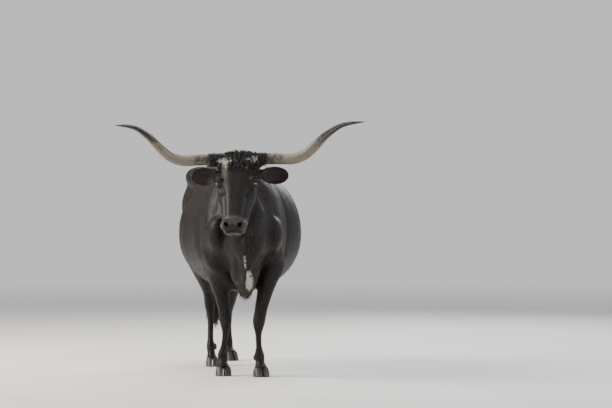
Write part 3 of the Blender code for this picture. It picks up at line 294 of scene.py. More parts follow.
# Fine folds of the face that the solids are too coarse for.
FACE_STROKES = (
    (((0.000, 0.026, -0.503), (0.036, 0.032, -0.499), (0.062, 0.050, -0.478), (0.076, 0.074, -0.453),
      (0.081, 0.098, -0.427)), 0.0030, -0.0050),
    (((0.024, 0.004, -0.482), (0.022, -0.006, -0.462), (0.034, -0.010, -0.448),
      (0.052, -0.004, -0.450)), 0.0050, 0.0030),
    (((0.056, 0.004, -0.484), (0.066, 0.012, -0.470), (0.072, 0.028, -0.448)), 0.0040, -0.0030),
    (((0.000, -0.010, -0.440), (0.000, 0.000, -0.472), (0.000, 0.020, -0.500)), 0.0030, -0.0022),
    (((0.091, 0.001, -0.182), (0.101, 0.003, -0.164), (0.117, 0.019, -0.156),
      (0.125, 0.041, -0.160)), 0.0034, -0.0028),
    (((0.085, 0.001, -0.176), (0.099, -0.001, -0.154), (0.117, 0.015, -0.144),
      (0.127, 0.041, -0.148)), 0.0036, 0.0022),
    (((0.087, 0.005, -0.204), (0.103, 0.017, -0.212), (0.119, 0.035, -0.206)), 0.0034, -0.0026),
    (((0.083, 0.007, -0.214), (0.103, 0.021, -0.224), (0.121, 0.041, -0.214)), 0.0040, -0.0018),
    (((0.085, 0.017, -0.215), (0.078, 0.014, -0.240), (0.072, 0.016, -0.268)), 0.0040, -0.0020),
    (((0.070, 0.080, -0.440), (0.078, 0.088, -0.420), (0.080, 0.092, -0.400)), 0.0050, -0.0024),
)


def rows_between(rows, steps):
    """Fills in rows of numbers along a smooth curve, so that few stations give a round form."""
    rows = np.array(rows, dtype=float)
    last = len(rows) - 1
    filled = []
    for i in range(last):
        a, b, c, d = rows[max(i - 1, 0)], rows[i], rows[i + 1], rows[min(i + 2, last)]
        for t in np.arange(steps) / steps:
            filled.append(
                b
                + 0.5 * (c - a) * t
                + (a - 2.5 * b + 2.0 * c - 0.5 * d) * t**2
                + (1.5 * (b - c) + 0.5 * (d - a)) * t**3
            )
    filled.append(rows[last])
    return np.array(filled)


def bridged(bm, rings):
    """Faces from each ring of corners to the next."""
    for first, second in zip(rings, rings[1:]):
        for k in range(len(first)):
            bm.faces.new((first[k - 1], first[k], second[k], second[k - 1]))


def loft(bm, rows, steps=4, sides=24, across=(1.0, 0.0, 0.0), power=2.0):
    """A closed tube through rows of x, y, z, half width, depth over and depth under."""
    rows = rows_between(rows, steps)
    ways = np.gradient(rows[:, :3], axis=0)
    rings = []
    for row, way in zip(rows, ways):
        way = Vector(way).normalized()
        side = Vector(across)
        side = (side - way * side.dot(way)).normalized()
        over = side.cross(way)
        ring = []
        for k in range(sides):
            angle = 2 * math.pi * k / sides
            c, s = math.cos(angle), math.sin(angle)
            x = math.copysign(abs(c) ** (2 / power), c) * row[3]
            y = math.copysign(abs(s) ** (2 / power), s) * (row[4] if s > 0 else row[5])
            ring.append(bm.verts.new(Vector(row[:3]) + side * x + over * y))
        rings.append(ring)
    bridged(bm, rings)
    bm.faces.new(reversed(rings[0]))
    bm.faces.new(rings[-1])


def mass(bm, centre, radii, turn=(0.0, 0.0, 0.0), detail=3):
    """A rounded lump of flesh or bone, turned by degrees."""
    matrix = (
        Matrix.Translation(centre)
        @ Euler([math.radians(a) for a in turn]).to_matrix().to_4x4()
        @ Matrix.Diagonal((*radii, 1.0))
    )
    bmesh.ops.create_icosphere(bm, subdivisions=detail, radius=1.0, matrix=matrix)


def pair(bm, centre, radii, turn=(0.0, 0.0, 0.0)):
    """The same lump on both sides of the animal."""
    mass(bm, centre, radii, turn)
    x, y, z = centre
    mass(bm, (-x, y, z), radii, (turn[0], -turn[1], -turn[2]))


def along(joints, place):
    """The point at a place along a leg's joints, rounded through the joints."""
    rows = rows_between(joints, 8)
    place = min(max(place, 0.0), len(joints) - 1.0) * 8
    low = min(int(place), len(rows) - 2)
    return rows[low] + (rows[low + 1] - rows[low]) * (place - low)


def linked(name, data):
    """An object in the scene."""
    made = bpy.data.objects.new(name, data)
    bpy.context.scene.collection.objects.link(made)
    return made


def object_of(name, bm):
    """An object in the scene from a bmesh, which is freed."""
    bmesh.ops.recalc_face_normals(bm, faces=bm.faces)
    mesh = bpy.data.meshes.new(name)
    bm.to_mesh(mesh)
    bm.free()
    return linked(name, mesh)


def joined(bm, other):
    """Adds another bmesh, which is freed."""
    mesh = bpy.data.meshes.new("joined")
    other.to_mesh(mesh)
    other.free()
    bm.from_mesh(mesh)
    bpy.data.meshes.remove(mesh)


def removed(made):
    mesh = made.data
    bpy.data.objects.remove(made)
    bpy.data.meshes.remove(mesh)


def applied(made):
    """Makes an object's modifiers real."""
    graph = bpy.context.evaluated_depsgraph_get()
    mesh = bpy.data.meshes.new_from_object(made.evaluated_get(graph))
    old = made.data
    made.modifiers.clear()
    made.data = mesh
    mesh.name = made.name
    bpy.data.meshes.remove(old)
    return made


def modified(made, kind, **settings):
    """Adds a modifier with its settings and makes it real."""
    step = made.modifiers.new(kind.lower(), kind)
    for name, value in settings.items():
        setattr(step, name, value)
    return applied(made)


def remeshed(made, size):
    return modified(made, "REMESH", mode="VOXEL", voxel_size=size, use_smooth_shade=True)


def cut(made, other, operation="DIFFERENCE"):
    """Joins, parts or takes away one closed mesh, and removes it."""
    modified(made, "BOOLEAN", operation=operation, solver="MANIFOLD", object=other)
    removed(other)


def points_of(made):
    points = np.empty(len(made.data.vertices) * 3)
    made.data.vertices.foreach_get("co", points)
    return points.reshape(-1, 3)


def normals_of(made):
    normals = np.empty(len(made.data.vertices) * 3)
    made.data.vertex_normals.foreach_get("vector", normals)
    return normals.reshape(-1, 3)


def put(made, points):
    """Moves a mesh's corners to new places."""
    made.data.vertices.foreach_set("co", points.ravel())
    made.data.update()


def eased(made, weights, rounds, digits=1):
    """Smooths a mesh where weights, one for each point, are above nothing."""
    levels = np.round(weights, digits)
    group = made.vertex_groups.new(name="ease")
    for level in np.unique(levels):
        if level > 0:
            group.add(np.nonzero(levels == level)[0].tolist(), float(level), "REPLACE")
    modified(made, "SMOOTH", vertex_group="ease", factor=0.5, iterations=rounds)
    made.vertex_groups.clear()


def body_shape(bm):
    """Barrel, shoulders, hips and belly."""
    rows = [
        (lean, y, middle, half, top - middle, middle - bottom)
        for y, top, middle, bottom, half, lean in TORSO
    ]
    loft(bm, rows, sides=40, power=2.15)
    pair(bm, (0.148, 0.010, 0.985), (0.080, 0.125, 0.250), (-16, -14, 0))
    pair(bm, (0.160, -0.115, 0.850), (0.072, 0.086, 0.125), (20, 0, 0))
    pair(bm, (0.162, 0.035, 0.745), (0.080, 0.135, 0.140))
    pair(bm, (0.148, 0.955, 1.188), (0.092, 0.175, 0.072), (0, 12, -8))
    pair(bm, (0.082, 1.292, 1.115), (0.062, 0.080, 0.075))
    pair(bm, (0.158, 1.110, 0.960), (0.108, 0.190, 0.235), (-12, 6, 0))
    mass(bm, (0.0, 1.180, 1.225), (0.085, 0.190, 0.060), (-8, 0, 0))
    mass(bm, (0.0, 0.090, 1.225), (0.060, 0.160, 0.058))
    mass(bm, (-0.004, -0.140, 0.665), (0.098, 0.125, 0.150), (-14, 0, 0))
    mass(bm, (0.008, 0.000, 0.575), (0.052, 0.200, 0.092), (4, 0, 0))
    mass(bm, (0.010, 0.970, 0.600), (0.082, 0.105, 0.068), (-12, 0, 0))
    for x, y in ((0.042, 0.925), (-0.030, 0.930), (0.040, 1.000), (-0.028, 1.005)):
        mass(bm, (x, y, 0.535), (0.0125, 0.0125, 0.036), detail=2)


def neck_shape(bm):
    """Neck, and the dewlap that hangs from throat to brisket."""
    loft(bm, NECK, sides=32)
    mass(bm, (-0.044, -0.160, 0.900), (0.034, 0.085, 0.160), (22, 0, 0))
    mass(bm, (-0.020, -0.235, 0.730), (0.040, 0.085, 0.175), (8, 0, 0))
    mass(bm, (0.004, -0.180, 0.570), (0.050, 0.115, 0.080), (-24, 0, 0))


def leg_shape(bm, joints, profile):
    """One leg along its joints, open to more above the first joint."""
    rows = [(*along(joints, max(place, 0.0)), half, back, front) for place, half, back, front in profile]
    if profile[0][0] < 0:
        first = Vector(rows[0][:3]) + (Vector(joints[0]) - Vector(joints[1])) * -profile[0][0]
        rows[0] = (*first, *rows[0][3:])
    loft(bm, rows, sides=24)


def ham_shape(bm, side):
    """The muscle from the pin bone down to the back of the shin, drawn after the leg's step."""
    loft(bm, HAMS[side], sides=24)


def hock_shape(bm, joints):
    """The heel bone that sticks up behind the hock, and the tendon above it."""
    hock = Vector(joints[2])
    shin = (Vector(joints[1]) - hock).normalized()
    cannon = (hock - Vector(joints[3])).normalized()
    point = hock + cannon * 0.050 + Vector((0.0, 0.046, 0.0))
    high = hock + shin * 0.170 + Vector((0.0, 0.036, 0.010))
    rows = [
        (*(hock + Vector((0.0, 0.022, -0.012))), 0.022, 0.026, 0.026),
        (*point, 0.0165, 0.022, 0.026),
        (*(point.lerp(high, 0.35)), 0.0130, 0.016, 0.036),
        (*high, 0.020, 0.022, 0.044),
    ]
    loft(bm, rows, sides=16)


def head_shape(bm):
    """Skull, jaws, muzzle, orbits, and the stumps that carry horns and ears."""
    rows = (
        (0.0, 0.062, 0.016, 0.070, 0.030, 0.030),
        (0.0, 0.062, 0.000, 0.104, 0.054, 0.054),
        (0.0, 0.070, -0.050, 0.114, 0.095, 0.074),
        (0.0, 0.080, -0.110, 0.111, 0.125, 0.088),
        (0.0, 0.085, -0.170, 0.108, 0.135, 0.092),
        (0.0, 0.088, -0.230, 0.104, 0.130, 0.089),
        (0.0, 0.088, -0.290, 0.097, 0.110, 0.085),
        (0.0, 0.083, -0.350, 0.086, 0.086, 0.079),
        (0.0, 0.075, -0.405, 0.079, 0.068, 0.072),
        (0.0, 0.064, -0.445, 0.075, 0.058, 0.064),
        (0.0, 0.058, -0.480, 0.066, 0.052, 0.056),
        (0.0, 0.058, -0.503, 0.044, 0.036, 0.036),
    )
    made = bmesh.new()
    loft(made, rows, sides=32, power=2.3)
    pair(made, (0.066, 0.132, -0.205), (0.042, 0.074, 0.098), (0, 4, 0))
    pair(made, (0.052, 0.182, -0.190), (0.036, 0.048, 0.055))
    pair(made, (0.099, 0.037, -0.158), (0.034, 0.030, 0.026), (0, -12, 20))
    pair(made, EYE, (0.0255, 0.0255, 0.0255))
    pair(made, (0.086, 0.058, -0.228), (0.024, 0.028, 0.055), (0, 10, 0))
    pair(made, (0.050, 0.026, -0.458), (0.035, 0.034, 0.038))
    mass(made, (0.0, 0.036, -0.460), (0.084, 0.044, 0.044))
    mass(made, (0.0, 0.074, -0.488), (0.046, 0.040, 0.028), (14, 0, 0))
    mass(made, (0.0, 0.050, -0.003), (0.110, 0.048, 0.030))
    for side in (1, -1):
        stump = [
            (side * x, HORN_ROOT.y, HORN_ROOT.z, 0.037, 0.037, 0.037)
            for x in (0.06, 0.110, HORN_ROOT.x + 0.008)
        ]
        loft(made, stump, sides=20, across=(0, 1, 0))
        mass(made, (side * 0.106, 0.108, -0.090), (0.044, 0.034, 0.034))
    bmesh.ops.transform(made, matrix=HEAD, verts=made.verts)
    joined(bm, made)


def strokes_of(table, frame=None):
    """Brush strokes on both sides of the animal: a positive push raises the skin."""
    strokes = []
    for path, reach, push in table:
        for side in (1, -1):
            line = [Vector((x * side, y, z)) for x, y, z in path]
            if frame:
                line = [frame @ point for point in line]
            strokes.append((line, reach, push))
            if all(abs(point[0]) < 1e-6 for point in path):
                break
    return strokes


def body_strokes():
    strokes = strokes_of(BODY_STROKES)
    side = [Vector((-0.27, 0.35, 1.08)), Vector((-0.30, 0.56, 1.09)), Vector((-0.28, 0.74, 1.09))]
    strokes.append((side, 0.075, -0.018))
    for rib in range(8):
        y = 0.270 + rib * 0.066
        wave = 0.008 * math.sin(rib * 2.3)
        path = (
            (0.200, y, 1.160),
            (0.380, y + 0.020 + wave, 0.980),
            (0.420, y + 0.045, 0.760),
            (0.300, y + 0.050, 0.620),
        )
        strokes += strokes_of(((path, 0.024, -0.0014 + 0.0008 * math.sin(rib * 1.7)),))
    for fold in range(5):
        y = -0.215 + fold * 0.036
        path = ((0.105, y, 1.120 - fold * 0.020), (0.120, y - 0.010, 0.980), (0.105, y - 0.045, 0.840))
        strokes += strokes_of(((path, 0.010, -0.0060),))
    return strokes


def leg_strokes():
    """Tendons, kneecaps and the points of the joints."""
    strokes = []
    for side, joints in FORE_JOINTS.items():
        sign = 1 if side == "left" else -1
        knee, fetlock = Vector(joints[1]), Vector(joints[2])
        for lean in (1, -1):
            high = knee + Vector((lean * 0.040, 0.012, -0.060))
            low = fetlock + Vector((lean * 0.040, 0.012, 0.045))
            strokes.append(([high, high.lerp(low, 0.5), low], 0.008, -0.0040))
        cap = [knee + Vector((0, -0.060, 0.012)), knee + Vector((0, -0.060, -0.020))]
        strokes.append((cap, 0.020, 0.0050))
        strokes.append(([knee + Vector((0, 0.060, 0.010)), knee + Vector((0, 0.060, 0.0))], 0.016, 0.0080))
        fore = knee + Vector((sign * 0.090, -0.010, 0.180))
        strokes.append(([fore, knee + Vector((sign * 0.060, -0.005, 0.060))], 0.012, -0.0050))
    for side, joints in HIND_JOINTS.items():
        hock, fetlock = Vector(joints[2]), Vector(joints[3])
        for lean in (1, -1):
            high = hock + Vector((lean * 0.040, 0.010, -0.070))
            low = fetlock + Vector((lean * 0.040, 0.012, 0.045))
            strokes.append(([high, high.lerp(low, 0.5), low], 0.008, -0.0040))
            dent = hock + Vector((lean * 0.050, 0.030, 0.045))
            strokes.append(([dent, dent + Vector((0, 0.004, 0.035))], 0.012, -0.0045))
    return strokes


def line_distance(points, line):
    """How far each point lies from a line of corners."""
    best = np.full(len(points), 1e9)
    for start, end in zip(line, line[1:]):
        start, way = np.array(start), np.array(end) - np.array(start)
        share = np.clip((points - start) @ way / max(way @ way, 1e-12), 0.0, 1.0)
        best = np.minimum(best, np.linalg.norm(points - start - share[:, None] * way, axis=1))
    return best


def brushed(made, strokes):
    """Lays each stroke on the nearest skin, and moves the skin along its own normals."""
    points, normals = points_of(made), normals_of(made)
    tree = KDTree(len(points))
    for index, point in enumerate(points):
        tree.insert(point, index)
    tree.balance()
    moved = np.zeros(len(points))
    for path, reach, push in strokes:
        line = []
        for start, end in zip(path, path[1:]):
            count = max(1, int((end - start).length / 0.03))
            line += [tree.find(start.lerp(end, k / count))[0] for k in range(count)]
        line.append(tree.find(path[-1])[0])
        corners = np.array(line)
        span = reach * 2.5
        near = ((points > corners.min(axis=0) - span) & (points < corners.max(axis=0) + span)).all(axis=1)
        gap = line_distance(points[near], line)
        moved[near] += push * np.exp(-((gap / reach) ** 2))
    put(made, points + normals * moved[:, None])


def grown_skin():
    """The whole of the flesh as one closed skin."""
    bm = bmesh.new()
    body_shape(bm)
    neck_shape(bm)
    head_shape(bm)
    for side in ("right", "left"):
        leg_shape(bm, FORE_JOINTS[side], FORE_PROFILE)
        leg_shape(bm, HIND_JOINTS[side], HIND_PROFILE)
        ham_shape(bm, side)
        hock_shape(bm, HIND_JOINTS[side])
    tail_shape(bm)
    skin = object_of("skin", bm)
    remeshed(skin, VOXEL)
    points = points_of(skin)
    soft = np.clip((points[:, 2] - 0.42) / 0.2, 0.06, 1.0)
    muzzle = HEAD @ Vector((0.0, 0.08, -0.30))
    near_head = np.linalg.norm(points - np.array(muzzle), axis=1)
    soft *= np.clip((near_head - 0.16) / 0.30, 0.08, 1.0)
    on_tail = (points[:, 1] > 1.385) & (points[:, 2] > 0.60) & (abs(points[:, 0]) < 0.040)
    soft[on_tail] = 0.03
    eased(skin, soft, 300, digits=2)
    brushed(skin, body_strokes() + leg_strokes() + strokes_of(HEAD_STROKES, HEAD))
    return skin


def tail_shape(bm):
    loft(bm, [(x, y, z, r, r, r) for x, y, z, r in TAIL], sides=20)


def prism(corners, span):
    """A closed block over an outline in side view and a span across."""
    bm = bmesh.new()
    low, high = span
    near = [bm.verts.new((low, y, z)) for y, z in corners]
    far = [bm.verts.new((high, y, z)) for y, z in corners]
    bm.faces.new(near)
    bm.faces.new(reversed(far))
    for i in range(len(near)):
        bm.faces.new((near[i - 1], near[i], far[i], far[i - 1]))
    return object_of("cell", bm)


def block(low, high):
    """The corners of a box in side view."""
    return ((low[0], low[1]), (high[0], low[1]), (high[0], high[1]), (low[0], high[1]))


def foot_frame(foot):
    (x, y), toes_out, _length, _width = FEET[foot]
    side = 1 if foot.endswith("left") else -1
    return Matrix.Translation((x, y, 0)) @ Matrix.Rotation(math.radians(toes_out * side), 4, "Z")


def coronet(foot, lift):
    """A block from the floor up to the slanted top of a hoof, in that foot's frame."""
    length = FEET[foot][2]
    half = length / 2
    slope = (CORONET_FRONT - CORONET_HEEL) / length
    corners = (
        (-0.200, -0.100),
        (0.200, -0.100),
        (0.200, CORONET_HEEL - slope * (0.200 - half) + lift),
        (-0.200, CORONET_FRONT + slope * (0.200 - half) + lift),
    )
    made = prism(corners, (-0.075, 0.075))
    made.data.transform(foot_frame(foot))
    return made


def dewclaw_rows(foot, side):
    """The small claws behind the fetlock, in the foot's frame."""
    high = 0.118 if foot.startswith("fore") else 0.122
    back = 0.070 if foot.startswith("fore") else 0.066
    return (
        (side * 0.015, back - 0.012, high + 0.014, 0.0075, 0.007, 0.007),
        (side * 0.018, back + 0.002, high + 0.004, 0.0105, 0.010, 0.010),
        (side * 0.021, back + 0.010, high - 0.012, 0.0090, 0.008, 0.008),
        (side * 0.022, back + 0.011, high - 0.022, 0.0030, 0.003, 0.003),
    )


def side_frame(side, root, level):
    """The head's frame at a root, mirrored for the right side, untilted if level."""
    mirror = Matrix.Diagonal((1 if side == "left" else -1, 1, 1, 1))
    frame = HEAD @ mirror @ Matrix.Translation(root)
    if level:
        frame = frame @ Matrix.Rotation(math.radians(-HEAD_TILT), 4, "X")
    return frame


def ear_mesh(side, steps, arc):
    """A leaf-shaped cup, open to the front, from a round root sunk in the head."""
    bm = bmesh.new()
    rings = []
    deep = [(-0.14, *EAR[0][1:])]
    for share, half, back, floor in rows_between(deep + list(EAR), steps):
        ring = []
        droop = -0.010 * share + 0.012 * share**2
        for k in range(arc + 1):
            angle = math.pi * (k / arc - 0.5)
            ring.append((share * EAR_LENGTH, back * math.cos(angle), half * math.sin(angle) + droop))
        for k in range(1, arc):
            angle = math.pi * (0.5 - k / arc)
            inner = half - 0.25 * abs(back - floor) * math.cos(angle)
            ring.append((share * EAR_LENGTH, floor * math.cos(angle), inner * math.sin(angle) + droop))
        rings.append([bm.verts.new(p) for p in ring])
    bridged(bm, rings)
    bm.faces.new(rings[0])
    bm.faces.new(rings[-1])
    swing = Matrix.Rotation(math.radians(12), 4, "Z") @ Matrix.Rotation(math.radians(4), 4, "Y")
    for vert in bm.verts:
        bend = min(1.0, max(0.0, vert.co.x / 0.05))
        vert.co = vert.co.lerp(swing @ vert.co, bend)
    bmesh.ops.transform(bm, matrix=side_frame(side, EAR_ROOT, True), verts=bm.verts)
    return bm


def eye_frame(side):
    mirror = Matrix.Diagonal((1 if side == "left" else -1, 1, 1, 1))
    look = EYE_LOOK.to_track_quat("Z", "Y").to_matrix().to_4x4()
    return HEAD @ mirror @ Matrix.Translation(EYE) @ look


def lid_frame(side):
    """An eye's frame, turned about its look so that X runs along the lids."""
    return eye_frame(side) @ Matrix.Rotation(math.radians(EYE_TILT), 4, "Z")


def lock(bm, root, way, length, width, fall, bend=0.0, sides=5):
    """One flat tapered lock of hair: it leaves its root one way and curves towards the fall."""
    way, fall = Vector(way).normalized(), Vector(fall)
    place = Vector(root)
    flat = way.cross(fall)
    if flat.length < 1e-4:
        flat = way.cross(Vector((0.3, 1.0, 0.2)))
    flat = Matrix.Rotation(bend, 3, way) @ flat.normalized()
    rings = []
    steps = 3
    for k in range(steps + 1):
        share = k / steps
        size = (0.66, 1.0, 0.78, 0.16)[k] * width / 2
        thick = (0.60, 0.62, 0.44, 0.12)[k] * width / 2
        up = flat.cross(way).normalized()
        ring = []
        for j in range(sides):
            angle = 2 * math.pi * j / sides
            ring.append(bm.verts.new(place + flat * size * math.cos(angle) + up * thick * math.sin(angle)))
        rings.append(ring)
        way = (way + fall * (0.9 * share + 0.12)).normalized()
        flat = (flat - way * flat.dot(way)).normalized()
        place = place + way * (length / steps)
    bridged(bm, rings)
    bm.faces.new(rings[0])
    bm.faces.new(rings[-1])


def refined(made, inside):
    """Splits the faces of a mesh where a test on their corners' places holds."""
    points = points_of(made)
    chosen = inside(points)
    bm = bmesh.new()
    bm.from_mesh(made.data)
    bm.verts.ensure_lookup_table()
    edges = [edge for edge in bm.edges if chosen[edge.verts[0].index] and chosen[edge.verts[1].index]]
    bmesh.ops.subdivide_edges(bm, edges=edges, cuts=1, use_grid_fill=True)
    bm.to_mesh(made.data)
    bm.free()


def in_frame(points, frame):
    """Places as a frame sees them."""
    back = np.array(frame.inverted())
    return points @ back[:3, :3].T + back[:3, 3]


def in_head(points):
    return in_frame(points, HEAD)


def fine_places(points):
    """Where the skin is split once more: head, neck, brisket, legs and tail."""
    local = in_head(points)
    head = np.linalg.norm(local - np.array((0.0, 0.09, -0.24)), axis=1) < 0.40
    legs = points[:, 2] < 0.50
    brisket = (points[:, 1] < -0.10) & (abs(points[:, 0]) < 0.12)
    return head | legs | brisket


def finest_places(points):
    """Where it is split twice: the face, the poll and the roots of the ears."""
    local = in_head(points)
    face = (local[:, 1] < 0.110) & (local[:, 2] > -0.56) & (local[:, 2] < 0.05) & (abs(local[:, 0]) < 0.16)
    rest = (local[:, 1] < 0.150) & (local[:, 2] > -0.14) & (local[:, 2] < 0.03) & (abs(local[:, 0]) < 0.15)
    return face | rest


def snapped(made, target, lift):
    """Lays every point of a mesh on a target's surface, lifted along the target's normal."""
    mesh = target.data
    tree = BVHTree.FromPolygons([v.co for v in mesh.vertices], [p.vertices[:] for p in mesh.polygons])
    points = points_of(made)
    for index, point in enumerate(points):
        place, normal, _face, _gap = tree.find_nearest(point)
        points[index] = place + normal * lift
    put(made, points)


def ear_shape(side):
    """An ear as one closed shape whose root runs into the head."""
    return object_of("ear", ear_mesh(side, 7, 26))


def lids_over(skin, side):
    """Keeps the skin over an eyeball by the thickness of a lid."""
    points = points_of(skin)
    middle = np.array(eye_frame(side).translation)
    away = points - middle
    gap = np.linalg.norm(away, axis=1)
    thin = gap < EYE_RADIUS + LID
    points[thin] = middle + away[thin] / gap[thin, None] * (EYE_RADIUS + LID)
    put(skin, points)


def socket_cuts(skin, side):
    """The eye's socket and the almond opening between the lids."""
    ball = bmesh.new()
    room = EYE_RADIUS + 0.0004
    bmesh.ops.create_uvsphere(ball, u_segments=40, v_segments=24, radius=room, matrix=eye_frame(side))
    cut(skin, object_of("socket", ball))
    bm = bmesh.new()
    rings = []
    for depth, size in ((0.002, 0.90), (0.0195, 1.0), (0.040, 1.15)):
        rings.append([bm.verts.new(Vector((x * size, y * size, depth))) for x, y in almond(48)])
    bridged(bm, rings)
    bm.faces.new(rings[0])
    bm.faces.new(rings[-1])
    bmesh.ops.transform(bm, matrix=lid_frame(side), verts=bm.verts)
    cut(skin, object_of("lids", bm))


def lid_height(angle):
    """How far a lid's edge lies from the middle of the opening, at an angle round it."""
    rise = math.sin(angle)
    return (UPPER_LID if rise > 0 else LOWER_LID) * rise * abs(rise) ** 0.35


def almond(count):
    """The opening between the lids, round the look's axis."""
    angles = [2 * math.pi * k / count for k in range(count)]
    return [(LID_REACH * math.cos(angle), lid_height(angle)) for angle in angles]


def nostril_cuts(skin):
    for side in (1, -1):
        bm = bmesh.new()
        rows = (
            (0.042, 0.040, -0.460, 0.004, 0.005, 0.005),
            (0.042, 0.020, -0.463, 0.0085, 0.010, 0.010),
            (0.041, 0.004, -0.466, 0.0105, 0.0150, 0.0140),
            (0.042, -0.020, -0.470, 0.0140, 0.0190, 0.0170),
        )
        loft(bm, [(side * x, y, z, a, b, c) for x, y, z, a, b, c in rows], steps=4, sides=28)
        curl = HEAD @ Matrix.Translation((side * 0.040, 0, -0.464)) @ Matrix.Rotation(side * 0.5, 4, "Y")
        bmesh.ops.transform(bm, matrix=curl @ Matrix.Translation((side * -0.040, 0, 0.464)), verts=bm.verts)
        cut(skin, object_of("nostril", bm))


def near_shoulders(points):
    """How strongly the skin over each shoulder's point is smoothed, from 0 to 1."""
    near = np.zeros(len(points))
    for side in (1, -1):
        away = np.linalg.norm(points - np.array((side * SHOULDER.x, SHOULDER.y, SHOULDER.z)), axis=1)
        near = np.maximum(near, np.clip(1.6 - away / 0.095, 0, 1))
    return near


def shaped_skin():
    """The one skin of head, neck, body, legs, tail and ears, fine where the form is small."""
    rough = grown_skin()
    skin = linked("skin", rough.data.copy())
    remeshed(skin, NET)
    tail = bmesh.new()
    loft(tail, [(x, y, z, r, r, r) for x, y, z, r in TAIL], steps=16, sides=20)
    cut(skin, object_of("tail", tail), "UNION")
    refined(skin, fine_places)
    refined(skin, finest_places)
    snapped(skin, rough, -COAT_DEPTH)
    removed(rough)
    skin.name = "skin"
    eased(skin, np.where(finest_places(points_of(skin)), 1.0, 0.3), 3)
    eased(skin, near_shoulders(points_of(skin)), 16)
    brushed(skin, strokes_of(FACE_STROKES, HEAD))
    for side in ("right", "left"):
        lids_over(skin, side)
        socket_cuts(skin, side)
        cut(skin, ear_shape(side), "UNION")
    nostril_cuts(skin)
    for foot in FEET:
        cut(skin, coronet(foot, 0.0))
    bm = bmesh.new()
    bm.from_mesh(skin.data)
    bmesh.ops.remove_doubles(bm, verts=bm.verts[:], dist=0.0002)
    bmesh.ops.holes_fill(bm, edges=[edge for edge in bm.edges if edge.is_boundary])
    bmesh.ops.triangulate(bm, faces=[face for face in bm.faces if len(face.verts) > 4])
    bm.to_mesh(skin.data)
    bm.free()
    weights = np.zeros(len(skin.data.vertices))
    points = points_of(skin)
    for side in ("right", "left"):
        root = np.array(side_frame(side, EAR_ROOT, True).translation)
        weights = np.maximum(weights, np.clip(1.6 - np.linalg.norm(points - root, axis=1) / 0.034, 0, 1))
        look = np.array(eye_frame(side).translation)
        weights = np.maximum(weights, np.clip(1.2 - np.linalg.norm(points - look, axis=1) / 0.030, 0, 0.1))
    eased(skin, weights, 10)
    return skin


def home():
    """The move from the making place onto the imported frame, read from where an eye lies."""
    low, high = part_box("eye_left")
    return (low + high) / 2 - HEAD @ EYE


def lengths(rows):
    """The length run along rows of places, from the first."""
    steps = np.linalg.norm(np.diff(rows[:, :3], axis=0), axis=1)
    return np.concatenate(([0.0], np.cumsum(steps)))


def note(made, name, values):
    """Keeps a number for each point of a mesh under a name."""
    kept = made.data.attributes.get(name) or made.data.attributes.new(name, "FLOAT", "POINT")
    kept.data.foreach_set("value", np.asarray(values, dtype=np.float32))


def note_ways(made, name, ways):
    kept = made.data.attributes.get(name) or made.data.attributes.new(name, "FLOAT_VECTOR", "POINT")
    kept.data.foreach_set("vector", np.asarray(ways, dtype=np.float32).ravel())


def horn(side):
    """A horn with rings near its root, noting how far along it each point lies."""
    reach, rise = HORN_SCALE[side]
    rows = [(x * reach, y, z * rise, r) for x, y, z, r in HORN]
    rows[0] = (-0.030, *rows[0][1:])
    rows = rows_between(rows, 10)
    run = lengths(rows)
    sides = 48
    bm = bmesh.new()
    ways = np.gradient(rows[:, :3], axis=0)
    rings = []
    places = []
    for k, (row, way) in enumerate(zip(rows, ways)):
        way = Vector(way).normalized()
        across = Vector((0, 1, 0))
        across = (across - way * across.dot(way)).normalized()
        over = across.cross(way)
        fade = math.exp(-(((run[k] - 0.03) / 0.11) ** 2))
        ring = []
        for j in range(sides):
            angle = 2 * math.pi * j / sides
            wear = noise.noise(Vector((math.cos(angle) * 1.4, math.sin(angle) * 1.4, run[k] * 30)))
            band = math.sin(run[k] * 2 * math.pi / 0.0125 + wear * 1.5)
            radius = HORN_RADIUS * row[3] * (1 + fade * (0.012 * band - 0.012) + 0.010 * wear)
            offset = across * radius * math.cos(angle) + over * radius * math.sin(angle)
            ring.append(bm.verts.new(Vector(row[:3]) + offset))
            places.append(run[k])
        rings.append(ring)
    bridged(bm, rings)
    bm.faces.new(reversed(rings[0]))
    bm.faces.new(rings[-1])
    bmesh.ops.transform(bm, matrix=side_frame(side, HORN_ROOT, True), verts=bm.verts)
    made = object_of(f"horn_shaft_{side}", bm)
    note(made, "along", places)
    return made


def eyeball(side):
    """An eye with its clear front bulging, noting the angle from where it looks."""
    bm = bmesh.new()
    bmesh.ops.create_uvsphere(bm, u_segments=64, v_segments=40, radius=1.0)
    angles = []
    for vert in bm.verts:
        angle = math.acos(max(-1.0, min(1.0, vert.co.z)))
        angles.append((angle, vert.co.x, vert.co.y))
        bulge = 0.0011 * math.exp(-((angle / 0.42) ** 4))
        vert.co *= EYE_RADIUS - 0.0003 + bulge
    bmesh.ops.transform(bm, matrix=lid_frame(side), verts=bm.verts)
    made = object_of(f"eyeball_{side}", bm)
    note(made, "off_look", [a for a, _x, _y in angles])
    note(made, "look_x", [x for _a, x, _y in angles])
    note(made, "look_y", [y for _a, _x, y in angles])
    return made


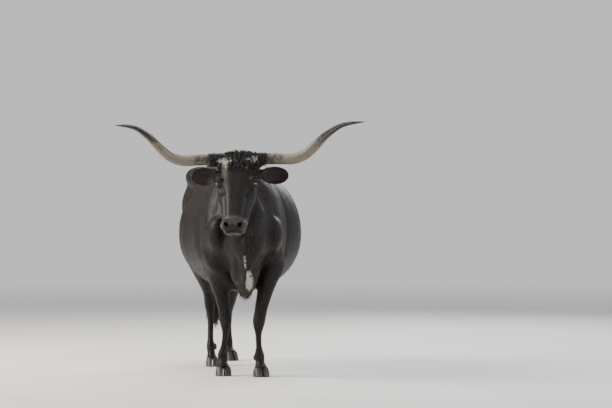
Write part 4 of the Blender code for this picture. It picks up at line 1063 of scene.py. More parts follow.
def lid_rim(side, around=72, corners=8):
    """The wet dark rim along the lids' opening."""
    bm = bmesh.new()
    outline = almond(around)
    rings = []
    for k, (x, y) in enumerate(outline):
        ahead, behind = Vector(outline[(k + 1) % around]), Vector(outline[k - 1])
        way = (ahead - behind).normalized()
        out = Vector((way.y, -way.x, 0.0))
        off = min(0.95, (x * x + y * y) / EYE_RADIUS**2) * EYE_RADIUS**2
        high = math.sqrt(max(0.0, (EYE_RADIUS + 0.0008) ** 2 - off))
        centre = Vector((x * 1.02, y * 1.02, high))
        ring = []
        for j in range(corners):
            angle = 2 * math.pi * j / corners
            up = Vector((0, 0, 0.0016)) * math.sin(angle)
            ring.append(bm.verts.new(centre + out * 0.0018 * math.cos(angle) + up))
        rings.append(ring)
    bridged(bm, [rings[-1], *rings])
    bmesh.ops.transform(bm, matrix=lid_frame(side), verts=bm.verts)
    return object_of(f"lid_rim_{side}", bm)


def lashes(side):
    """Upper lashes, curved cones along the top lid."""
    bm = bmesh.new()
    rng = random.Random(21 if side == "left" else 22)
    tilt = lid_frame(side)
    for k in range(34):
        angle = math.radians(18 + 144 * k / 33 + rng.uniform(-2, 2))
        x = 0.0192 * math.cos(angle)
        y = lid_height(angle)
        high = math.sqrt(max(1e-5, EYE_RADIUS**2 - min(0.9 * EYE_RADIUS**2, x * x + y * y)))
        root = tilt @ Vector((x, y, high + 0.0004))
        way = tilt.to_3x3() @ Vector((x * 18 + rng.uniform(-0.1, 0.1), 0.35, 0.9))
        lock(bm, root, way, rng.uniform(0.012, 0.019), 0.0011, Vector((0, 0, -0.5)), rng.uniform(-1, 1))
    return object_of(f"lashes_{side}", bm)


def hoof(foot):
    """Both halves of a cloven hoof and the two dewclaws behind the fetlock."""
    _place, _toes, length, width = FEET[foot]
    half = length / 2
    halves = []
    for side in (1, -1):
        bm = bmesh.new()
        rows = (
            (0.0, 0.004, 0.000, 0.95, 0.85, 0.97),
            (0.0, 0.004, 0.002, 0.985, 0.885, 0.99),
            (0.0, 0.004, 0.006, 1.00, 0.90, 1.00),
            (0.0, 0.004, 0.030, 0.96, 0.915, 0.775),
            (0.0, 0.004, 0.056, 0.86, 0.925, 0.475),
            (0.0, 0.004, 0.090, 0.74, 0.955, 0.165),
        )
        outline = [(x, y, z, w * width / 2, f * half, b * half) for x, y, z, w, b, f in rows]
        loft(bm, outline, steps=4, sides=48, power=2.35)
        made = object_of(f"hoof_{foot}_{side}", bm)
        gone = (-0.3, 0.0018) if side > 0 else (-0.0018, 0.3)
        cut(made, prism(block((-0.3, -0.1), (0.3, 0.3)), gone))
        heel = Matrix.Translation((0, half, 0))
        spread = heel @ Matrix.Rotation(math.radians(2.5 * side), 4, "Z") @ heel.inverted()
        made.data.transform(foot_frame(foot) @ spread)
        made.data.update()
        cut(made, coronet(foot, 0.0015), "INTERSECT")
        halves.append(made)
    bm = bmesh.new()
    for made in halves:
        bm.from_mesh(made.data)
        removed(made)
    claws = bmesh.new()
    for side in (1, -1):
        loft(claws, dewclaw_rows(foot, side), steps=5, sides=24)
    bmesh.ops.transform(claws, matrix=foot_frame(foot), verts=claws.verts)
    joined(bm, claws)
    bmesh.ops.remove_doubles(bm, verts=bm.verts[:], dist=1e-5)
    return object_of(f"hoof_{foot}", bm)


def switch_core():
    """The end of the tail that the long hair grows on."""
    rows = (
        (0.005, 1.444, SWITCH_TOP + 0.080, 0.0100, 0.0100, 0.0100),
        (0.005, 1.444, SWITCH_TOP + 0.010, 0.0128, 0.0128, 0.0128),
        (0.005, 1.444, 0.580, 0.0160, 0.0160, 0.0160),
        (0.005, 1.442, 0.480, 0.0200, 0.0200, 0.0200),
        (0.004, 1.440, 0.380, 0.0150, 0.0150, 0.0150),
        (0.002, 1.436, SWITCH_TIP + 0.045, 0.0040, 0.0040, 0.0040),
    )
    bm = bmesh.new()
    loft(bm, rows, steps=12, sides=32)
    return object_of("tail_hair_core", bm)


def tuft_shape(name, steps, sides, width, thick, lift, bend, curl=0.0, hook=0.0):
    """One lock of unit length along +Y with its root at the origin. It rises at an angle of lift,
    bends down by bend, winds sideways by curl and ends in a hook."""
    bm = bmesh.new()
    rings = []
    place, angle, turn = Vector((0, -0.04, -0.02)), lift, 0.0
    for k in range(steps):
        share = k / steps
        full = (1 - share) ** 0.7 * (0.75 + 0.5 * math.sin(math.pi * min(1.0, share * 1.4)))
        ring = []
        for j in range(sides):
            a = 2 * math.pi * j / sides
            side = Vector((math.cos(turn), -math.sin(turn), 0)) * width / 2 * full * math.cos(a)
            up = Vector((0, -math.sin(angle), math.cos(angle))) * thick / 2 * full * math.sin(a)
            ring.append(bm.verts.new(place + side + up))
        rings.append(ring)
        way = Vector((math.sin(turn) * math.cos(angle), math.cos(turn) * math.cos(angle), math.sin(angle)))
        place = place + way / steps
        angle += (bend + hook * share) / steps
        turn += curl / steps
    tip = bm.verts.new(place)
    bridged(bm, rings)
    bm.faces.new(rings[0])
    for j in range(sides):
        bm.faces.new((rings[-1][j - 1], rings[-1][j], tip))
    made = object_of(name, bm)
    made.hide_render = True
    patch = [(v.co.x / max(width, 0.01) * 0.5, v.co.y - 0.5, 0.0) for v in made.data.vertices]
    note_ways(made, "patch", patch)
    for face in made.data.polygons:
        face.use_smooth = True
    return made


def fed(made, values):
    """Fills a node's inputs by name or place, each with a value or another node's output."""
    for name, value in values.items():
        if isinstance(value, bpy.types.NodeSocket):
            made.id_data.links.new(value, made.inputs[name])
        else:
            made.inputs[name].default_value = value
    return made


def node(tree, kind, values=None, **settings):
    """Adds a node: its settings, then its inputs."""
    made = tree.nodes.new(kind)
    for name, value in settings.items():
        setattr(made, name, value)
    return fed(made, values or {})


def maths(tree, operation, *values):
    """The result of a sum on numbers."""
    return node(tree, "ShaderNodeMath", dict(enumerate(values)), operation=operation).outputs[0]


def named(tree, name, kind="FLOAT_VECTOR"):
    """What a mesh keeps under a name, for Geometry Nodes."""
    made = node(tree, "GeometryNodeInputNamedAttribute", {"Name": name}, data_type=kind)
    return made.outputs["Attribute"]


def chance(tree, low, high, seed):
    """A random number for each lock."""
    values = {2: low, 3: high, "Seed": seed}
    return node(tree, "FunctionNodeRandomValue", values, data_type="FLOAT").outputs[1]


def tuft_tree():
    """Sets locks of hair on a skin, along its lie, and maps each at its root's place."""
    tree = bpy.data.node_groups.new("hair set on a skin", "GeometryNodeTree")
    face = tree.interface
    face.new_socket("Skin", in_out="INPUT", socket_type="NodeSocketGeometry")
    for name, kind in (
        ("Lock", "Object"), ("Locks per square metre", "Float"), ("Seed", "Int"), ("Least size", "Float"),
        ("Most size", "Float"), ("Unrest", "Float"), ("Patch size", "Float"), ("Hair", "Material"),
    ):
        face.new_socket(name, in_out="INPUT", socket_type=f"NodeSocket{kind}")
    face.new_socket("Coat", in_out="OUTPUT", socket_type="NodeSocketGeometry")
    given = node(tree, "NodeGroupInput").outputs
    unrest = given["Unrest"]
    thick = maths(tree, "MULTIPLY", named(tree, "grow", "FLOAT"), given["Locks per square metre"])
    spread = node(tree, "GeometryNodeDistributePointsOnFaces", {
        "Mesh": given["Skin"], "Density": thick, "Seed": given["Seed"]})
    turned = node(tree, "FunctionNodeAxesToRotation", {
        "Primary Axis": spread.outputs["Normal"], "Secondary Axis": named(tree, "lie")},
        primary_axis="Z", secondary_axis="Y")
    calm = maths(tree, "MULTIPLY", unrest, -1.0)
    half = maths(tree, "MULTIPLY", chance(tree, calm, unrest, 6), 0.4)
    way = node(tree, "ShaderNodeCombineXYZ", {"X": half, "Y": half, "Z": chance(tree, calm, unrest, 5)})
    swayed = node(tree, "FunctionNodeEulerToRotation", {"Euler": way.outputs[0]})
    rotation = node(tree, "FunctionNodeRotateRotation", {
        "Rotation": turned.outputs[0], "Rotate By": swayed.outputs[0]}, rotation_space="LOCAL")
    size = chance(tree, given["Least size"], given["Most size"], 7)
    shape = node(tree, "GeometryNodeObjectInfo", {"Object": given["Lock"]}, transform_space="ORIGINAL")
    set_out = node(tree, "GeometryNodeInstanceOnPoints", {
        "Points": spread.outputs["Points"], "Instance": shape.outputs["Geometry"],
        "Rotation": rotation.outputs[0],
        "Scale": maths(tree, "MULTIPLY", size, named(tree, "size", "FLOAT"))})
    real = node(tree, "GeometryNodeRealizeInstances", {"Geometry": set_out.outputs[0]})
    small = node(tree, "ShaderNodeVectorMath", {0: named(tree, "patch"), "Scale": given["Patch size"]},
                 operation="SCALE")
    place = node(tree, "ShaderNodeVectorMath", {0: named(tree, "root_map"), 1: small.outputs[0]},
                 operation="ADD")
    mapped = node(tree, "GeometryNodeStoreNamedAttribute", {
        "Geometry": real.outputs[0], "Name": "OFBake", "Value": place.outputs[0]},
        data_type="FLOAT2", domain="CORNER")
    dyed = node(tree, "GeometryNodeSetMaterial", {"Geometry": mapped.outputs[0], "Material": given["Hair"]})
    node(tree, "NodeGroupOutput", {"Coat": dyed.outputs[0]})
    return tree


def coat(tree, skin, name, shape, per_m2, grow, size, material, unrest, seed):
    """One piece of hair: locks set on the skin where grow is above nothing, size metres long."""
    ground = linked("ground", skin.data.copy())
    note(ground, "grow", np.clip(grow, 0, 1))
    note(ground, "size", size * np.ones(len(grow)))
    step = ground.modifiers.new("hair", "NODES")
    step.node_group = tree
    values = {
        "Lock": shape, "Locks per square metre": float(per_m2), "Seed": seed, "Least size": 0.7,
        "Most size": 1.2, "Unrest": unrest, "Patch size": 0.003, "Hair": material,
    }
    for item in tree.interface.items_tree:
        if item.in_out == "INPUT" and item.name in values:
            step[item.identifier] = values[item.name]
    ground.name = name
    applied(ground)
    for spare in ("root_map", "patch", "grow", "size", "lie"):
        if spare in ground.data.attributes:
            ground.data.attributes.remove(ground.data.attributes[spare])
    return ground


def hex_colour(code):
    """An sRGB hex value as linear red, green, blue and 1."""
    parts = [int(code[k : k + 2], 16) / 255 for k in (1, 3, 5)]
    return (*[c / 12.92 if c <= 0.04045 else ((c + 0.055) / 1.055) ** 2.4 for c in parts], 1.0)


def per_mm(width, length=None):
    """The scale that makes a noise's grain this many millimetres across, and this many long."""
    across = 1000 / width
    return (across, across, 1000 / length) if length else across


def new_material(name):
    """An empty material, its node tree and its Principled shader."""
    made = bpy.data.materials.new(name)
    made.use_nodes = True
    return made, made.node_tree, made.node_tree.nodes["Principled BSDF"]


def stored(tree, name):
    return node(tree, "ShaderNodeAttribute", attribute_name=name).outputs["Fac"]


def mixed(tree, share, first, second):
    """Two colours mixed by a share, each a hex value or another node's output."""
    first, second = [hex_colour(c) if isinstance(c, str) else c for c in (first, second)]
    return node(tree, "ShaderNodeMix", {0: share, 6: first, 7: second}, data_type="RGBA").outputs[2]


def graded(tree, value, low, high, to_low=0.0, to_high=1.0):
    """A value brought from one range to another, smoothly and clamped."""
    made = node(tree, "ShaderNodeMapRange", {0: value, 1: low, 2: high, 3: to_low, 4: to_high},
                interpolation_type="SMOOTHSTEP")
    return made.outputs[0]


def on_object(tree):
    return node(tree, "ShaderNodeTexCoord").outputs["Object"]


def grain(tree, turn, scale, detail=3.0, rough=0.6):
    """Noise in metres on Object coordinates, turned and stretched."""
    mapped = node(tree, "ShaderNodeMapping", {"Vector": on_object(tree), "Rotation": turn, "Scale": scale})
    return node(tree, "ShaderNodeTexNoise", {
        "Vector": mapped.outputs[0], "Scale": 1.0, "Detail": detail, "Roughness": rough}).outputs[0]


def speckled(tree, width, detail=3.0, rough=0.6):
    """Noise that is as wide as it is long."""
    return grain(tree, (0, 0, 0), (per_mm(width),) * 3, detail, rough)


def bumped(tree, height, depth, strength, under=None):
    """A surface raised by a height, over another where one is given."""
    values = {"Height": height, "Distance": depth, "Strength": strength}
    if under:
        values["Normal"] = under
    return node(tree, "ShaderNodeBump", values).outputs[0]


def blended(tree, share, first, second):
    """Two numbers mixed by a share."""
    return node(tree, "ShaderNodeMix", {0: share, 2: first, 3: second}, data_type="FLOAT").outputs[0]


SURROUND = hex_colour("#dcdcdc")
HEAD_TURN = tuple(HEAD.to_3x3().inverted().to_euler())
TRUNK_TURN = (math.radians(66), 0.0, 0.0)


def streaks(tree, width, length):
    """Streaks that follow the lie of the hair on trunk, legs and head."""
    scale = per_mm(width, length)
    trunk = grain(tree, TRUNK_TURN, scale)
    legs = grain(tree, (0.0, 0.0, 0.0), scale)
    head = grain(tree, HEAD_TURN, scale)
    return blended(tree, stored(tree, "on_head"), blended(tree, stored(tree, "on_leg"), trunk, legs), head)


def hair_colour(tree, dark, light, sunned):
    """Near-black hair with browner streaks, sunned along the back, and white where it is marked."""
    body = mixed(tree, graded(tree, streaks(tree, 9, 70), 0.35, 0.70), dark, light)
    patchy = speckled(tree, 160, 2.0)
    worn = maths(tree, "MULTIPLY", graded(tree, patchy, 0.45, 0.75), stored(tree, "sunned"))
    body = mixed(tree, worn, body, sunned)
    edge = graded(tree, speckled(tree, 7), 0.2, 0.8, -0.35, 0.35)
    ragged = maths(tree, "ADD", edge, stored(tree, "white"))
    return mixed(tree, graded(tree, ragged, 0.42, 0.58), body, "#aaa498")


def cattle_hide():
    """Short glossy cattle hair lying on hide, with bare damp skin at the muzzle and lids."""
    made, tree, shader = new_material("cattle hide")
    colour = hair_colour(tree, "#0e0b0a", "#1b1512", "#2a2019")
    colour = mixed(tree, stored(tree, "pale"), colour, "#7e766d")
    colour = mixed(tree, stored(tree, "inner"), colour, "#2e2522")
    bare = mixed(tree, graded(tree, speckled(tree, 12), 0.35, 0.7), "#171514", "#2c2927")
    colour = mixed(tree, stored(tree, "pad"), colour, bare)
    colour = mixed(tree, stored(tree, "bare"), colour, "#584842")
    gloss = graded(tree, streaks(tree, 14, 90), 0.3, 0.7, 0.38, 0.54)
    clumps = bumped(tree, streaks(tree, 6, 45), 0.0035, 0.55)
    hairs = bumped(tree, streaks(tree, 1.6, 16), 0.0012, 0.6, clumps)
    cell = node(tree, "ShaderNodeTexVoronoi", {"Vector": on_object(tree), "Scale": per_mm(3.2)},
                feature="DISTANCE_TO_EDGE")
    pebble = maths(tree, "MULTIPLY", graded(tree, cell.outputs[0], 0.0, 0.25), stored(tree, "pad"))
    fed(shader, {
        "Base Color": colour, "Roughness": blended(tree, stored(tree, "pad"), gloss, 0.38),
        "Specular IOR Level": 0.19, "Normal": bumped(tree, pebble, 0.0010, 0.8, hairs)})
    return made


def coat_hair(name, dark, light, rough=0.42):
    """Hair in locks, in the colours given, marked and streaked like the short coat under it. The body's locks
    get lighter colours than the hide: painted light that makes up for the shade the locks cast on each other
    and on the skin.
    """
    made, tree, shader = new_material(name)
    fed(shader, {
        "Base Color": hair_colour(tree, dark, light, "#33271f"), "Roughness": rough,
        "Specular IOR Level": 0.40, "Normal": bumped(tree, streaks(tree, 0.9, 12), 0.0008, 0.5)})
    return made


def cattle_horn():
    """Weathered keratin: scaly and stained near the root, ivory grey along the shaft, black at the tip."""
    made, tree, shader = new_material("cattle horn")
    along = stored(tree, "along")
    blotch = speckled(tree, 26, 4.0, 0.7)
    wavy = maths(tree, "ADD", graded(tree, blotch, 0.3, 0.7, -0.035, 0.035), along)
    streak = grain(tree, (0, 0, 0), (per_mm(30), per_mm(3), per_mm(3)), 3.0)
    shaft = mixed(tree, graded(tree, streak, 0.35, 0.7), "#72695a", "#574f43")
    stained = mixed(tree, graded(tree, blotch, 0.40, 0.62), "#2a241e", "#574f43")
    root = mixed(tree, graded(tree, wavy, 0.06, 0.12), stained, shaft)
    dusk = mixed(tree, graded(tree, wavy, 0.29, 0.41), root, "#332e29")
    flakes = bumped(tree, blotch, 0.0012, 0.6)
    fed(shader, {
        "Base Color": mixed(tree, graded(tree, wavy, 0.37, 0.49), dusk, "#161412"),
        "Roughness": graded(tree, along, 0.05, 0.5, 0.50, 0.26),
        "Normal": bumped(tree, streak, 0.0008, 0.5, flakes)})
    return made


def cattle_hoof():
    """Dark hoof horn with growth bands and dusty edges."""
    made, tree, shader = new_material("cattle hoof")
    place = node(tree, "ShaderNodeSeparateXYZ", {0: on_object(tree)}).outputs["Z"]
    wobble = speckled(tree, 30, 2.0)
    high = maths(tree, "MULTIPLY_ADD", wobble, 0.006, place)
    bands = maths(tree, "SINE", maths(tree, "MULTIPLY", high, 2 * math.pi / 0.0045))
    share = graded(tree, bands, -1.0, 1.0)
    tone = mixed(tree, share, "#231f1c", "#2f2a26")
    low = graded(tree, place, 0.0, 0.022, 1.0, 0.0)
    dusty = maths(tree, "MULTIPLY", low, graded(tree, wobble, 0.3, 0.7))
    ridge = bumped(tree, share, 0.0003, 0.35)
    fine = grain(tree, (0, 0, 0), per_mm(1.6, 22))
    fed(shader, {
        "Base Color": mixed(tree, dusty, tone, "#4f473f"), "Roughness": 0.48,
        "Normal": bumped(tree, fine, 0.0005, 0.5, ridge)})
    return made


def cow_eye():
    """A wet dark brown eye with a long level pupil."""
    made, tree, shader = new_material("cow eye")
    wide = maths(tree, "MULTIPLY", stored(tree, "look_x"), 1 / 0.30)
    tall = maths(tree, "MULTIPLY", stored(tree, "look_y"), 1 / 0.17)
    off = node(tree, "ShaderNodeCombineXYZ", {"X": wide, "Y": tall}).outputs[0]
    pupil = node(tree, "ShaderNodeVectorMath", {0: off}, operation="LENGTH").outputs["Value"]
    fibres = graded(tree, speckled(tree, 0.9), 0.3, 0.7)
    iris = mixed(tree, fibres, "#130b07", "#26170e")
    white = mixed(tree, fibres, "#51443c", "#382d27")
    colour = mixed(tree, graded(tree, stored(tree, "off_look"), 0.66, 0.80), iris, white)
    fed(shader, {
        "Base Color": mixed(tree, graded(tree, pupil, 0.9, 1.1, 1.0, 0.0), colour, "#050404"),
        "Roughness": 0.12, "Coat Weight": 1.0, "Coat Roughness": 0.02})
    return made


def damp_skin():
    """Bare dark skin, kept wet, as on the rims of the lids."""
    made, tree, shader = new_material("damp skin")
    tone = graded(tree, speckled(tree, 2.5, 2.0), 0.3, 0.7)
    fed(shader, {"Base Color": mixed(tree, tone, "#15100e", "#2b2320"), "Roughness": 0.22})
    return made


def studio_floor():
    """A matt pale floor that runs out into the pale surround, so that no edge shows far off."""
    made, tree, shader = new_material("studio floor")
    tone = graded(tree, speckled(tree, 900, 2.0), 0.3, 0.7)
    matt = mixed(tree, tone, "#d3d2d0", "#d8d7d5")
    off = node(tree, "ShaderNodeVectorMath", {0: on_object(tree)}, operation="LENGTH").outputs["Value"]
    far = graded(tree, off, 2.5, 14.0)
    fed(shader, {
        "Base Color": mixed(tree, far, matt, "#000000"),
        "Emission Color": mixed(tree, far, "#000000", SURROUND), "Emission Strength": 1.0,
        "Roughness": 0.85, "Specular IOR Level": 0.0})
    return made


def depth_in(places, corners):
    """How far flat places lie inside an outline, in metres, and below nothing outside it."""
    corners = np.array(corners)
    inside = np.zeros(len(places), dtype=bool)
    gap = np.full(len(places), 1e9)
    for a, b in zip(corners, np.roll(corners, -1, axis=0)):
        crosses = (a[1] > places[:, 1]) != (b[1] > places[:, 1])
        rise = b[1] - a[1] if abs(b[1] - a[1]) > 1e-9 else 1e-9
        inside ^= crosses & (places[:, 0] < (b[0] - a[0]) * (places[:, 1] - a[1]) / rise + a[0])
        way = b - a
        share = np.clip((places - a) @ way / (way @ way), 0, 1)
        gap = np.minimum(gap, np.linalg.norm(places - a - share[:, None] * way, axis=1))
    return np.where(inside, gap, -gap)


def ramp(values, low, high):
    """Rises smoothly from nothing at low to one at high, or falls where low is above high."""
    share = np.clip((values - low) / (high - low), 0, 1)
    return share * share * (3 - 2 * share)


# Markings: outlines in the head's frame (across, up) and on the brisket (across, height).
BROW_PATCH = (
    (-0.122, -0.020), (-0.080, -0.014), (-0.036, -0.024), (-0.040, -0.050),
    (-0.056, -0.080), (-0.082, -0.054),
)
BROW_FLECK = (
    (0.064, -0.030), (0.080, -0.012), (0.100, -0.002), (0.114, -0.004),
    (0.106, -0.022), (0.082, -0.032),
)
BRISKET_PATCH = (
    (-0.010, 0.642), (0.010, 0.648), (0.024, 0.602), (0.025, 0.556),
    (0.010, 0.524), (-0.012, 0.540), (-0.016, 0.592),
)
KEEL_LINE = ((-0.034, 0.730), (-0.027, 0.731), (-0.023, 0.690), (-0.018, 0.660), (-0.024, 0.662))


def over_coronets(points):
    """How far points lie over the slanted tops of the hooves, in metres."""
    over = np.full(len(points), 1.0)
    for foot, (_place, _toes, length, _width) in FEET.items():
        near = in_frame(points, foot_frame(foot))
        line = CORONET_FRONT - (CORONET_FRONT - CORONET_HEEL) * (near[:, 1] / length + 0.5)
        here = (abs(near[:, 0]) < 0.075) & (abs(near[:, 1]) < 0.200)
        over = np.where(here, near[:, 2] - line, over)
    return over


def notes_on(skin):
    """Everything that the coat and its colours read: the lie of the hair, the regions and the markings."""
    points, normals = points_of(skin), normals_of(skin)
    local = in_head(points)
    x, y, z = points.T
    on_head = ramp(local[:, 1] + 0.35 * local[:, 2], 0.16, 0.09) * ramp(y, -0.14, -0.22)
    jaw = np.minimum(0.270, 0.270 + 0.48 * (local[:, 2] + 0.25))
    on_head = on_head * ramp(local[:, 1] - jaw, 0.010, -0.010)
    ear = np.zeros(len(points))
    ear_way = np.zeros((len(points), 3))
    ear_in = np.zeros(len(points))
    for side in ("right", "left"):
        frame_in = side_frame(side, EAR_ROOT, True)
        near = in_frame(points, frame_in)
        here = ramp(near[:, 0], 0.010, 0.034) * (abs(near[:, 1]) < 0.07) * (abs(near[:, 2]) < 0.08)
        here = here * (near[:, 0] < EAR_LENGTH + 0.01)
        ear = np.maximum(ear, here)
        out = np.array(frame_in.to_3x3() @ Vector((1, 0.1, -0.1)))
        ear_way += here[:, None] * out
        faces = normals @ np.array(frame_in.inverted())[:3, :3].T
        ear_in = np.maximum(ear_in, here * ramp(-faces[:, 1], 0.0, 0.35))
    on_head = np.maximum(on_head, ear)
    on_leg = ramp(z, 0.56, 0.46)
    on_tail = ((y > 1.385) & (z > 0.58) & (abs(x) < 0.045)).astype(float)
    turn = HEAD.to_3x3()
    trunk = np.tile((0.0, 1.0, -0.45), (len(points), 1))
    neck = np.tile((0.0, 0.55, -0.85), (len(points), 1))
    face_way = np.array(turn @ Vector((0.0, 0.18, -1.0)))
    cheek_way = np.array(turn @ Vector((0.0, 0.75, -0.75)))
    forward = ramp(y, 0.30, -0.15)[:, None]
    lie = trunk * (1 - forward) + neck * forward
    down = np.maximum(on_leg, on_tail)[:, None]
    lie = lie * (1 - down) + np.array((0.0, 0.10, -1.0)) * down
    cheek = ramp(local[:, 1], 0.05, 0.12)[:, None]
    lie = lie * (1 - on_head[:, None]) + on_head[:, None] * (face_way * (1 - cheek) + cheek_way * cheek)
    lie = lie * (1 - ear[:, None]) + ear_way
    lie[:, 0] += 0.15 * np.sin(y * 11 + z * 7) * (1 - on_head)
    note_ways(skin, "lie", lie)
    note(skin, "on_head", on_head)
    note(skin, "on_leg", on_leg)
    note(skin, "sunned", ramp(normals[:, 2], 0.2, 0.9) * ramp(z, 0.9, 1.1) * (1 - on_head))
    front = ramp(-normals @ np.array(turn @ Vector((0, 1, 0))), 0.0, 0.4)
    across = local[:, [0, 2]]
    white = 0.5 + np.maximum(depth_in(across, BROW_PATCH), depth_in(across, BROW_FLECK)) / 0.012 * 0.5
    white = np.where((front > 0.2) & (local[:, 1] < 0.08), white, 0.0)
    dot = 0.5 + (0.006 - np.linalg.norm(across - np.array((0.058, -0.088)), axis=1)) / 0.012 * 0.5
    white = np.maximum(white, np.where(front > 0.2, dot, 0.0))
    level = points[:, [0, 2]]
    chest = 0.5 + np.maximum(depth_in(level, BRISKET_PATCH), depth_in(level, KEEL_LINE)) / 0.012 * 0.5
    freckle = 1 - ramp(np.linalg.norm(level - np.array((0.010, 0.612)), axis=1), 0.007, 0.011)
    chest = np.where((y < -0.08) & (normals[:, 1] < 0.3), chest * (1 - freckle), 0.0)
    white = np.clip(np.maximum(white, chest), 0, 1)
    note(skin, "white", white)
    wide = 0.058 - 0.5 * np.clip(-0.470 - local[:, 2], 0, 0.030)
    nose = ramp(local[:, 2], -0.418, -0.430) * ramp(local[:, 2], -0.502, -0.497)
    nose = nose * ramp(abs(local[:, 0]) - wide, 0.006, -0.004)
    nose = nose * ramp(local[:, 1], 0.062, 0.048) * on_head
    lip = ramp(abs(local[:, 2] + 0.507), 0.007, 0.003) * ramp(local[:, 1], 0.060, 0.050) * 0.45 * on_head
    note(skin, "pad", nose)
    ring = ramp(local[:, 2], -0.392, -0.420) * (1 - nose) * ramp(local[:, 1], 0.100, 0.070) * 0.22 * on_head
    ring = ring * ramp(local[:, 2], -0.512, -0.500)
    lids = np.zeros(len(points))
    for side in ("right", "left"):
        gap = np.linalg.norm(points - np.array(eye_frame(side).translation), axis=1)
        lids = np.maximum(lids, ramp(gap, 0.0320, 0.0265))
    note(skin, "pale", np.clip(np.maximum(np.maximum(ring, lip), lids * 0.08), 0, 1))
    note(skin, "inner", ear_in * 0.9)
    bag = np.linalg.norm((points - np.array((0.008, 0.965, 0.560))) / np.array((0.085, 0.105, 0.085)), axis=1)
    udder = ramp(bag, 1.05, 0.85) * ramp(z, 0.600, 0.575)
    note(skin, "bare", udder)
    return {
        "points": points, "normals": normals, "local": local, "head": on_head, "leg": on_leg,
        "ear": ear, "ear_in": ear_in, "over": over_coronets(points), "tail": on_tail, "nose": nose,
        "ring": ring, "bare": udder,
    }


def unwrapped(made, name):
    """An unwrap of a mesh's own shape under a name."""
    layer = made.data.uv_layers.new(name=name)
    made.data.uv_layers.active = layer
    bpy.context.view_layer.objects.active = made
    for other in bpy.context.selected_objects:
        other.select_set(False)
    made.select_set(True)
    bpy.ops.object.mode_set(mode="EDIT")
    bpy.ops.mesh.select_all(action="SELECT")
    bpy.ops.uv.smart_project(angle_limit=math.radians(66), island_margin=0.001)
    bpy.ops.object.mode_set(mode="OBJECT")


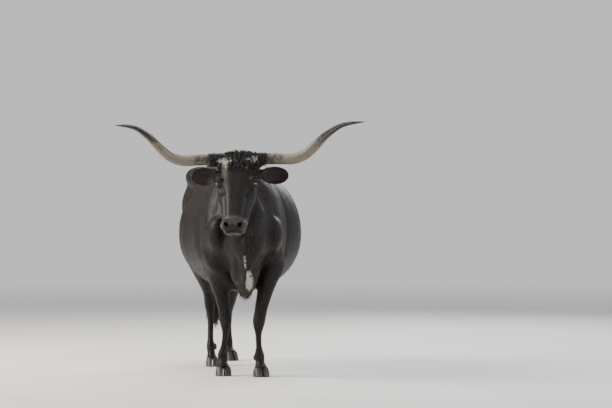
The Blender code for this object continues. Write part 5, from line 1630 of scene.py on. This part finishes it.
def coats(skin, at):
    """All hair, as pieces of their own."""
    tree = tuft_tree()
    x, y, z = at["points"].T
    ny, nz = at["normals"].T[1:]
    lx, ly, lz = at["local"].T
    short = tuft_shape("short lock", 2, 3, 0.12, 0.04, 0.14, -0.18)
    tiny = tuft_shape("tiny lock", 2, 3, 0.15, 0.05, 0.20, -0.24)
    loose = tuft_shape("loose lock", 4, 3, 0.10, 0.05, 0.34, -0.52, 0.25)
    curly = tuft_shape("curly lock", 7, 4, 0.15, 0.09, 0.95, -2.1, 0.8, -0.6)
    long_lock = tuft_shape("long lock", 9, 4, 0.050, 0.026, 0.30, -0.34, 0.10, 0.10)
    # The body's locks are lighter than the hide under them: painted light against the shade that falls
    # between the locks.
    dark = coat_hair("cattle coat hair", "#221c18", "#383029")
    mop = coat_hair("cattle mane hair", "#0f0c0b", "#241b16", 0.50)
    body = (1 - at["head"]) * (1 - at["leg"]) * (1 - at["bare"]) * (1 - at["tail"])
    covered = (1 - at["nose"]) * (1 - at["bare"])
    keel = ramp(y, -0.02, -0.12) * ramp(abs(x), 0.070, 0.035)
    under = ramp(-nz, 0.45, 0.85) * (z < 0.85)
    rear = ramp(ny, 0.50, 0.85) * (y > 0.9)
    crest = ramp(nz, 0.80, 0.97) * ramp(y, 0.45, 0.25) * (z > 1.05)
    fringe = np.clip(under + rear + crest * 0.8 + keel, 0, 1) * body
    bound = ramp(at["over"], 0.0015, 0.0045)
    face = at["head"] * covered * (1 - at["ear_in"]) * (1 - 0.5 * at["ring"])
    face_length = 0.0070 + 0.004 * ramp(ly, 0.03, 0.12)
    legs = np.maximum(at["leg"], at["tail"]) * covered * bound
    poll = ramp(lz, -0.100, -0.050) * ramp(abs(lx - 0.022), 0.105, 0.080)
    poll = poll * ramp(ly, 0.125, 0.105) * at["head"]
    stump = ramp(abs(lx), 0.085, 0.110) * ramp(np.hypot(ly - HORN_ROOT.y, lz - HORN_ROOT.z), 0.075, 0.050)
    stump = stump * (1 - at["ear"]) * at["head"]
    stump_length = 0.034 - 0.012 * ramp(abs(lx), 0.15, 0.20)
    tuft = ramp(np.linalg.norm(at["points"] - np.array((0.008, -0.150, 0.500)), axis=1), 0.060, 0.030)
    chin = ramp(lz, -0.462, -0.480) * ramp(ly, 0.070, 0.090) * (1 - at["nose"]) * at["head"]
    heel = ramp(ny, 0.35, 0.75) * ramp(z, 0.200, 0.150) * ramp(z, 0.055, 0.085)
    rim = ramp(at["over"], 0.034, 0.020)
    feet = np.clip(heel + rim, 0, 1) * at["leg"] * bound
    # Name, lock, locks per square metre, where they grow, their length, colour, unrest and seed.
    rows = (
        ("coat_body_right", short, 9800, body * (x < 0.02), 0.018, dark, 0.26, 1),
        ("coat_body_left", short, 9800, body * (x >= 0.02), 0.018, dark, 0.26, 12),
        ("coat_fringe", loose, 6000, fringe, 0.030, dark, 0.45, 2),
        ("coat_head", tiny, 24000, face, face_length, dark, 0.30, 3),
        ("coat_legs", tiny, 13000, legs, 0.010, dark, 0.32, 4),
        ("hair_poll", curly, 20000, poll, 0.044, mop, 0.9, 5),
        ("hair_collar", curly, 24000, stump, stump_length, mop, 0.9, 6),
        ("hair_ears", loose, 22000, at["ear_in"], 0.014, mop, 0.4, 7),
        ("hair_wisps", long_lock, 9000, tuft, 0.060, mop, 0.5, 8),
        ("hair_feet", loose, 26000, feet, 0.015, dark, 0.45, 9),
        ("hair_chin", loose, 9000, chin, 0.020, dark, 0.7, 10),
    )
    made = [coat(tree, skin, *row) for row in rows]
    core = switch_core()
    spots = points_of(core)
    note_ways(core, "lie", np.tile((0.0, 0.0, -1.0), (len(spots), 1)))
    for name in ("white", "sunned", "on_head", "on_leg"):
        note(core, name, np.full(len(spots), 1.0 if name == "on_leg" else 0.0))
    unwrapped(core, "root_map")
    reach = 0.17 - 0.05 * ramp(spots[:, 2], 0.45, 0.32)
    sides = ramp(abs(normals_of(core)[:, 2]), 0.7, 0.4)
    made.append(coat(tree, core, "hair_switch", long_lock, 40000, sides, reach, mop, 0.22, 11))
    core.data.uv_layers.remove(core.data.uv_layers["root_map"])
    core.data.materials.append(mop)
    for shape in (short, tiny, loose, curly, long_lock):
        removed(shape)
    return made + [core]


def light(name, place, aim, size, power, warmth="#ffffff"):
    """A soft studio light that points at a place."""
    lamp = bpy.data.lights.new(name, "AREA")
    lamp.shape = "DISK"
    lamp.size = size
    lamp.energy = power
    lamp.color = hex_colour(warmth)[:3]
    made = linked(name, lamp)
    made.location = place
    made.rotation_euler = (Vector(aim) - Vector(place)).to_track_quat("-Z", "Y").to_euler()


def studio():
    """Floor, pale surround and soft lights."""
    bm = bmesh.new()
    bmesh.ops.create_circle(bm, cap_ends=True, segments=96, radius=90)
    floor = object_of("floor", bm)
    floor.data.materials.append(studio_floor())
    world = bpy.data.worlds.new("studio")
    world.use_nodes = True
    tree = world.node_tree
    seen = node(tree, "ShaderNodeLightPath").outputs["Is Camera Ray"]
    dome = tree.nodes["Background"]
    dome.inputs["Color"].default_value = SURROUND
    tree.links.new(graded(tree, seen, 0.0, 1.0, 0.36, 1.0), dome.inputs["Strength"])
    bpy.context.scene.world = world
    light("key", (-5.6, 0.4, 4.4), (0.0, 0.0, 0.9), 4.2, 900, "#fff8f0")
    light("front", (1.0, -6.5, 3.6), (0.0, -0.4, 0.9), 4.0, 200, "#fbfbff")
    light("fill", (5.4, -1.5, 2.6), (0.0, 0.0, 0.9), 4.0, 170, "#f2f6ff")
    light("top", (0.0, 0.6, 5.6), (0.0, 0.2, 0.8), 4.5, 230)
    light("back", (3.0, 5.2, 3.8), (0.0, 0.2, 1.0), 3.0, 260)


# The photo's camera, worked out from the feet: its place in metres, its turn and downward pitch in
# degrees, and its focal length in pixels of a photo this wide.
CAMERA_AWAY, CAMERA_HEIGHT, CAMERA_ASIDE = 20.0, 1.4, 0.38
CAMERA_TURN, CAMERA_PITCH = -8.5, 1.05
FOCAL_PIXELS, PHOTO_WIDTH, SENSOR = 3340, 612, 36.0


def camera(move):
    """The photograph's view: from far ahead with a long lens, a little above the animal's back."""
    lens = bpy.data.cameras.new("camera")
    lens.sensor_width = SENSOR
    lens.lens = SENSOR * FOCAL_PIXELS / PHOTO_WIDTH
    lens.clip_end = 200.0
    made = linked("camera", lens)
    turn = math.radians(CAMERA_TURN)
    ahead = Vector((-math.sin(turn), math.cos(turn), 0.0))
    aside = Vector((ahead.y, -ahead.x, 0.0))
    made.location = move + aside * CAMERA_ASIDE - ahead * CAMERA_AWAY + Vector((0, 0, CAMERA_HEIGHT))
    aim = ahead - Vector((0, 0, math.tan(math.radians(CAMERA_PITCH))))
    made.rotation_euler = aim.to_track_quat("-Z", "Y").to_euler()
    bpy.context.scene.camera = made


def placed(made, move, stands_for, material=None):
    """Moves a piece onto the frame, gives it its material, and hides the parts that it stands for."""
    made.data.transform(Matrix.Translation(move))
    made.data.update()
    if material:
        made.data.materials.clear()
        made.data.materials.append(material)
    for face in made.data.polygons:
        face.use_smooth = True
    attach(made, "root")
    if stands_for:
        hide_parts(*stands_for)


def main():
    move = home()
    nodes = set(frame["nodes"])
    skin = shaped_skin()
    at = notes_on(skin)
    unwrapped(skin, "root_map")
    hair = coats(skin, at)
    skin.data.uv_layers.remove(skin.data.uv_layers["root_map"])
    flesh = [n for n in nodes if not n.startswith(("horn", "eye", "claw", "dewclaw", "tail_switch"))]
    placed(skin, move, sorted(flesh), cattle_hide())
    for made in hair:
        stands_for = ["tail_switch"] if made.name == "hair_switch" else []
        placed(made, move, stands_for)
    horn_stuff, hoof_stuff, eye_stuff, rim_stuff = cattle_horn(), cattle_hoof(), cow_eye(), damp_skin()
    lash_stuff = coat_hair("lashes", "#0f0c0b", "#1c1512")
    for side in ("right", "left"):
        placed(horn(side), move, [f"horn_{side}"], horn_stuff)
        placed(eyeball(side), move, [f"eye_{side}"], eye_stuff)
        placed(lid_rim(side), move, [], rim_stuff)
        placed(lashes(side), move, [], lash_stuff)
    for foot in FEET:
        parts = [f"{kind}_{foot}_{half}" for kind in ("claw", "dewclaw") for half in ("inner", "outer")]
        placed(hoof(foot), move, parts, hoof_stuff)
    studio()
    camera(move)


main()
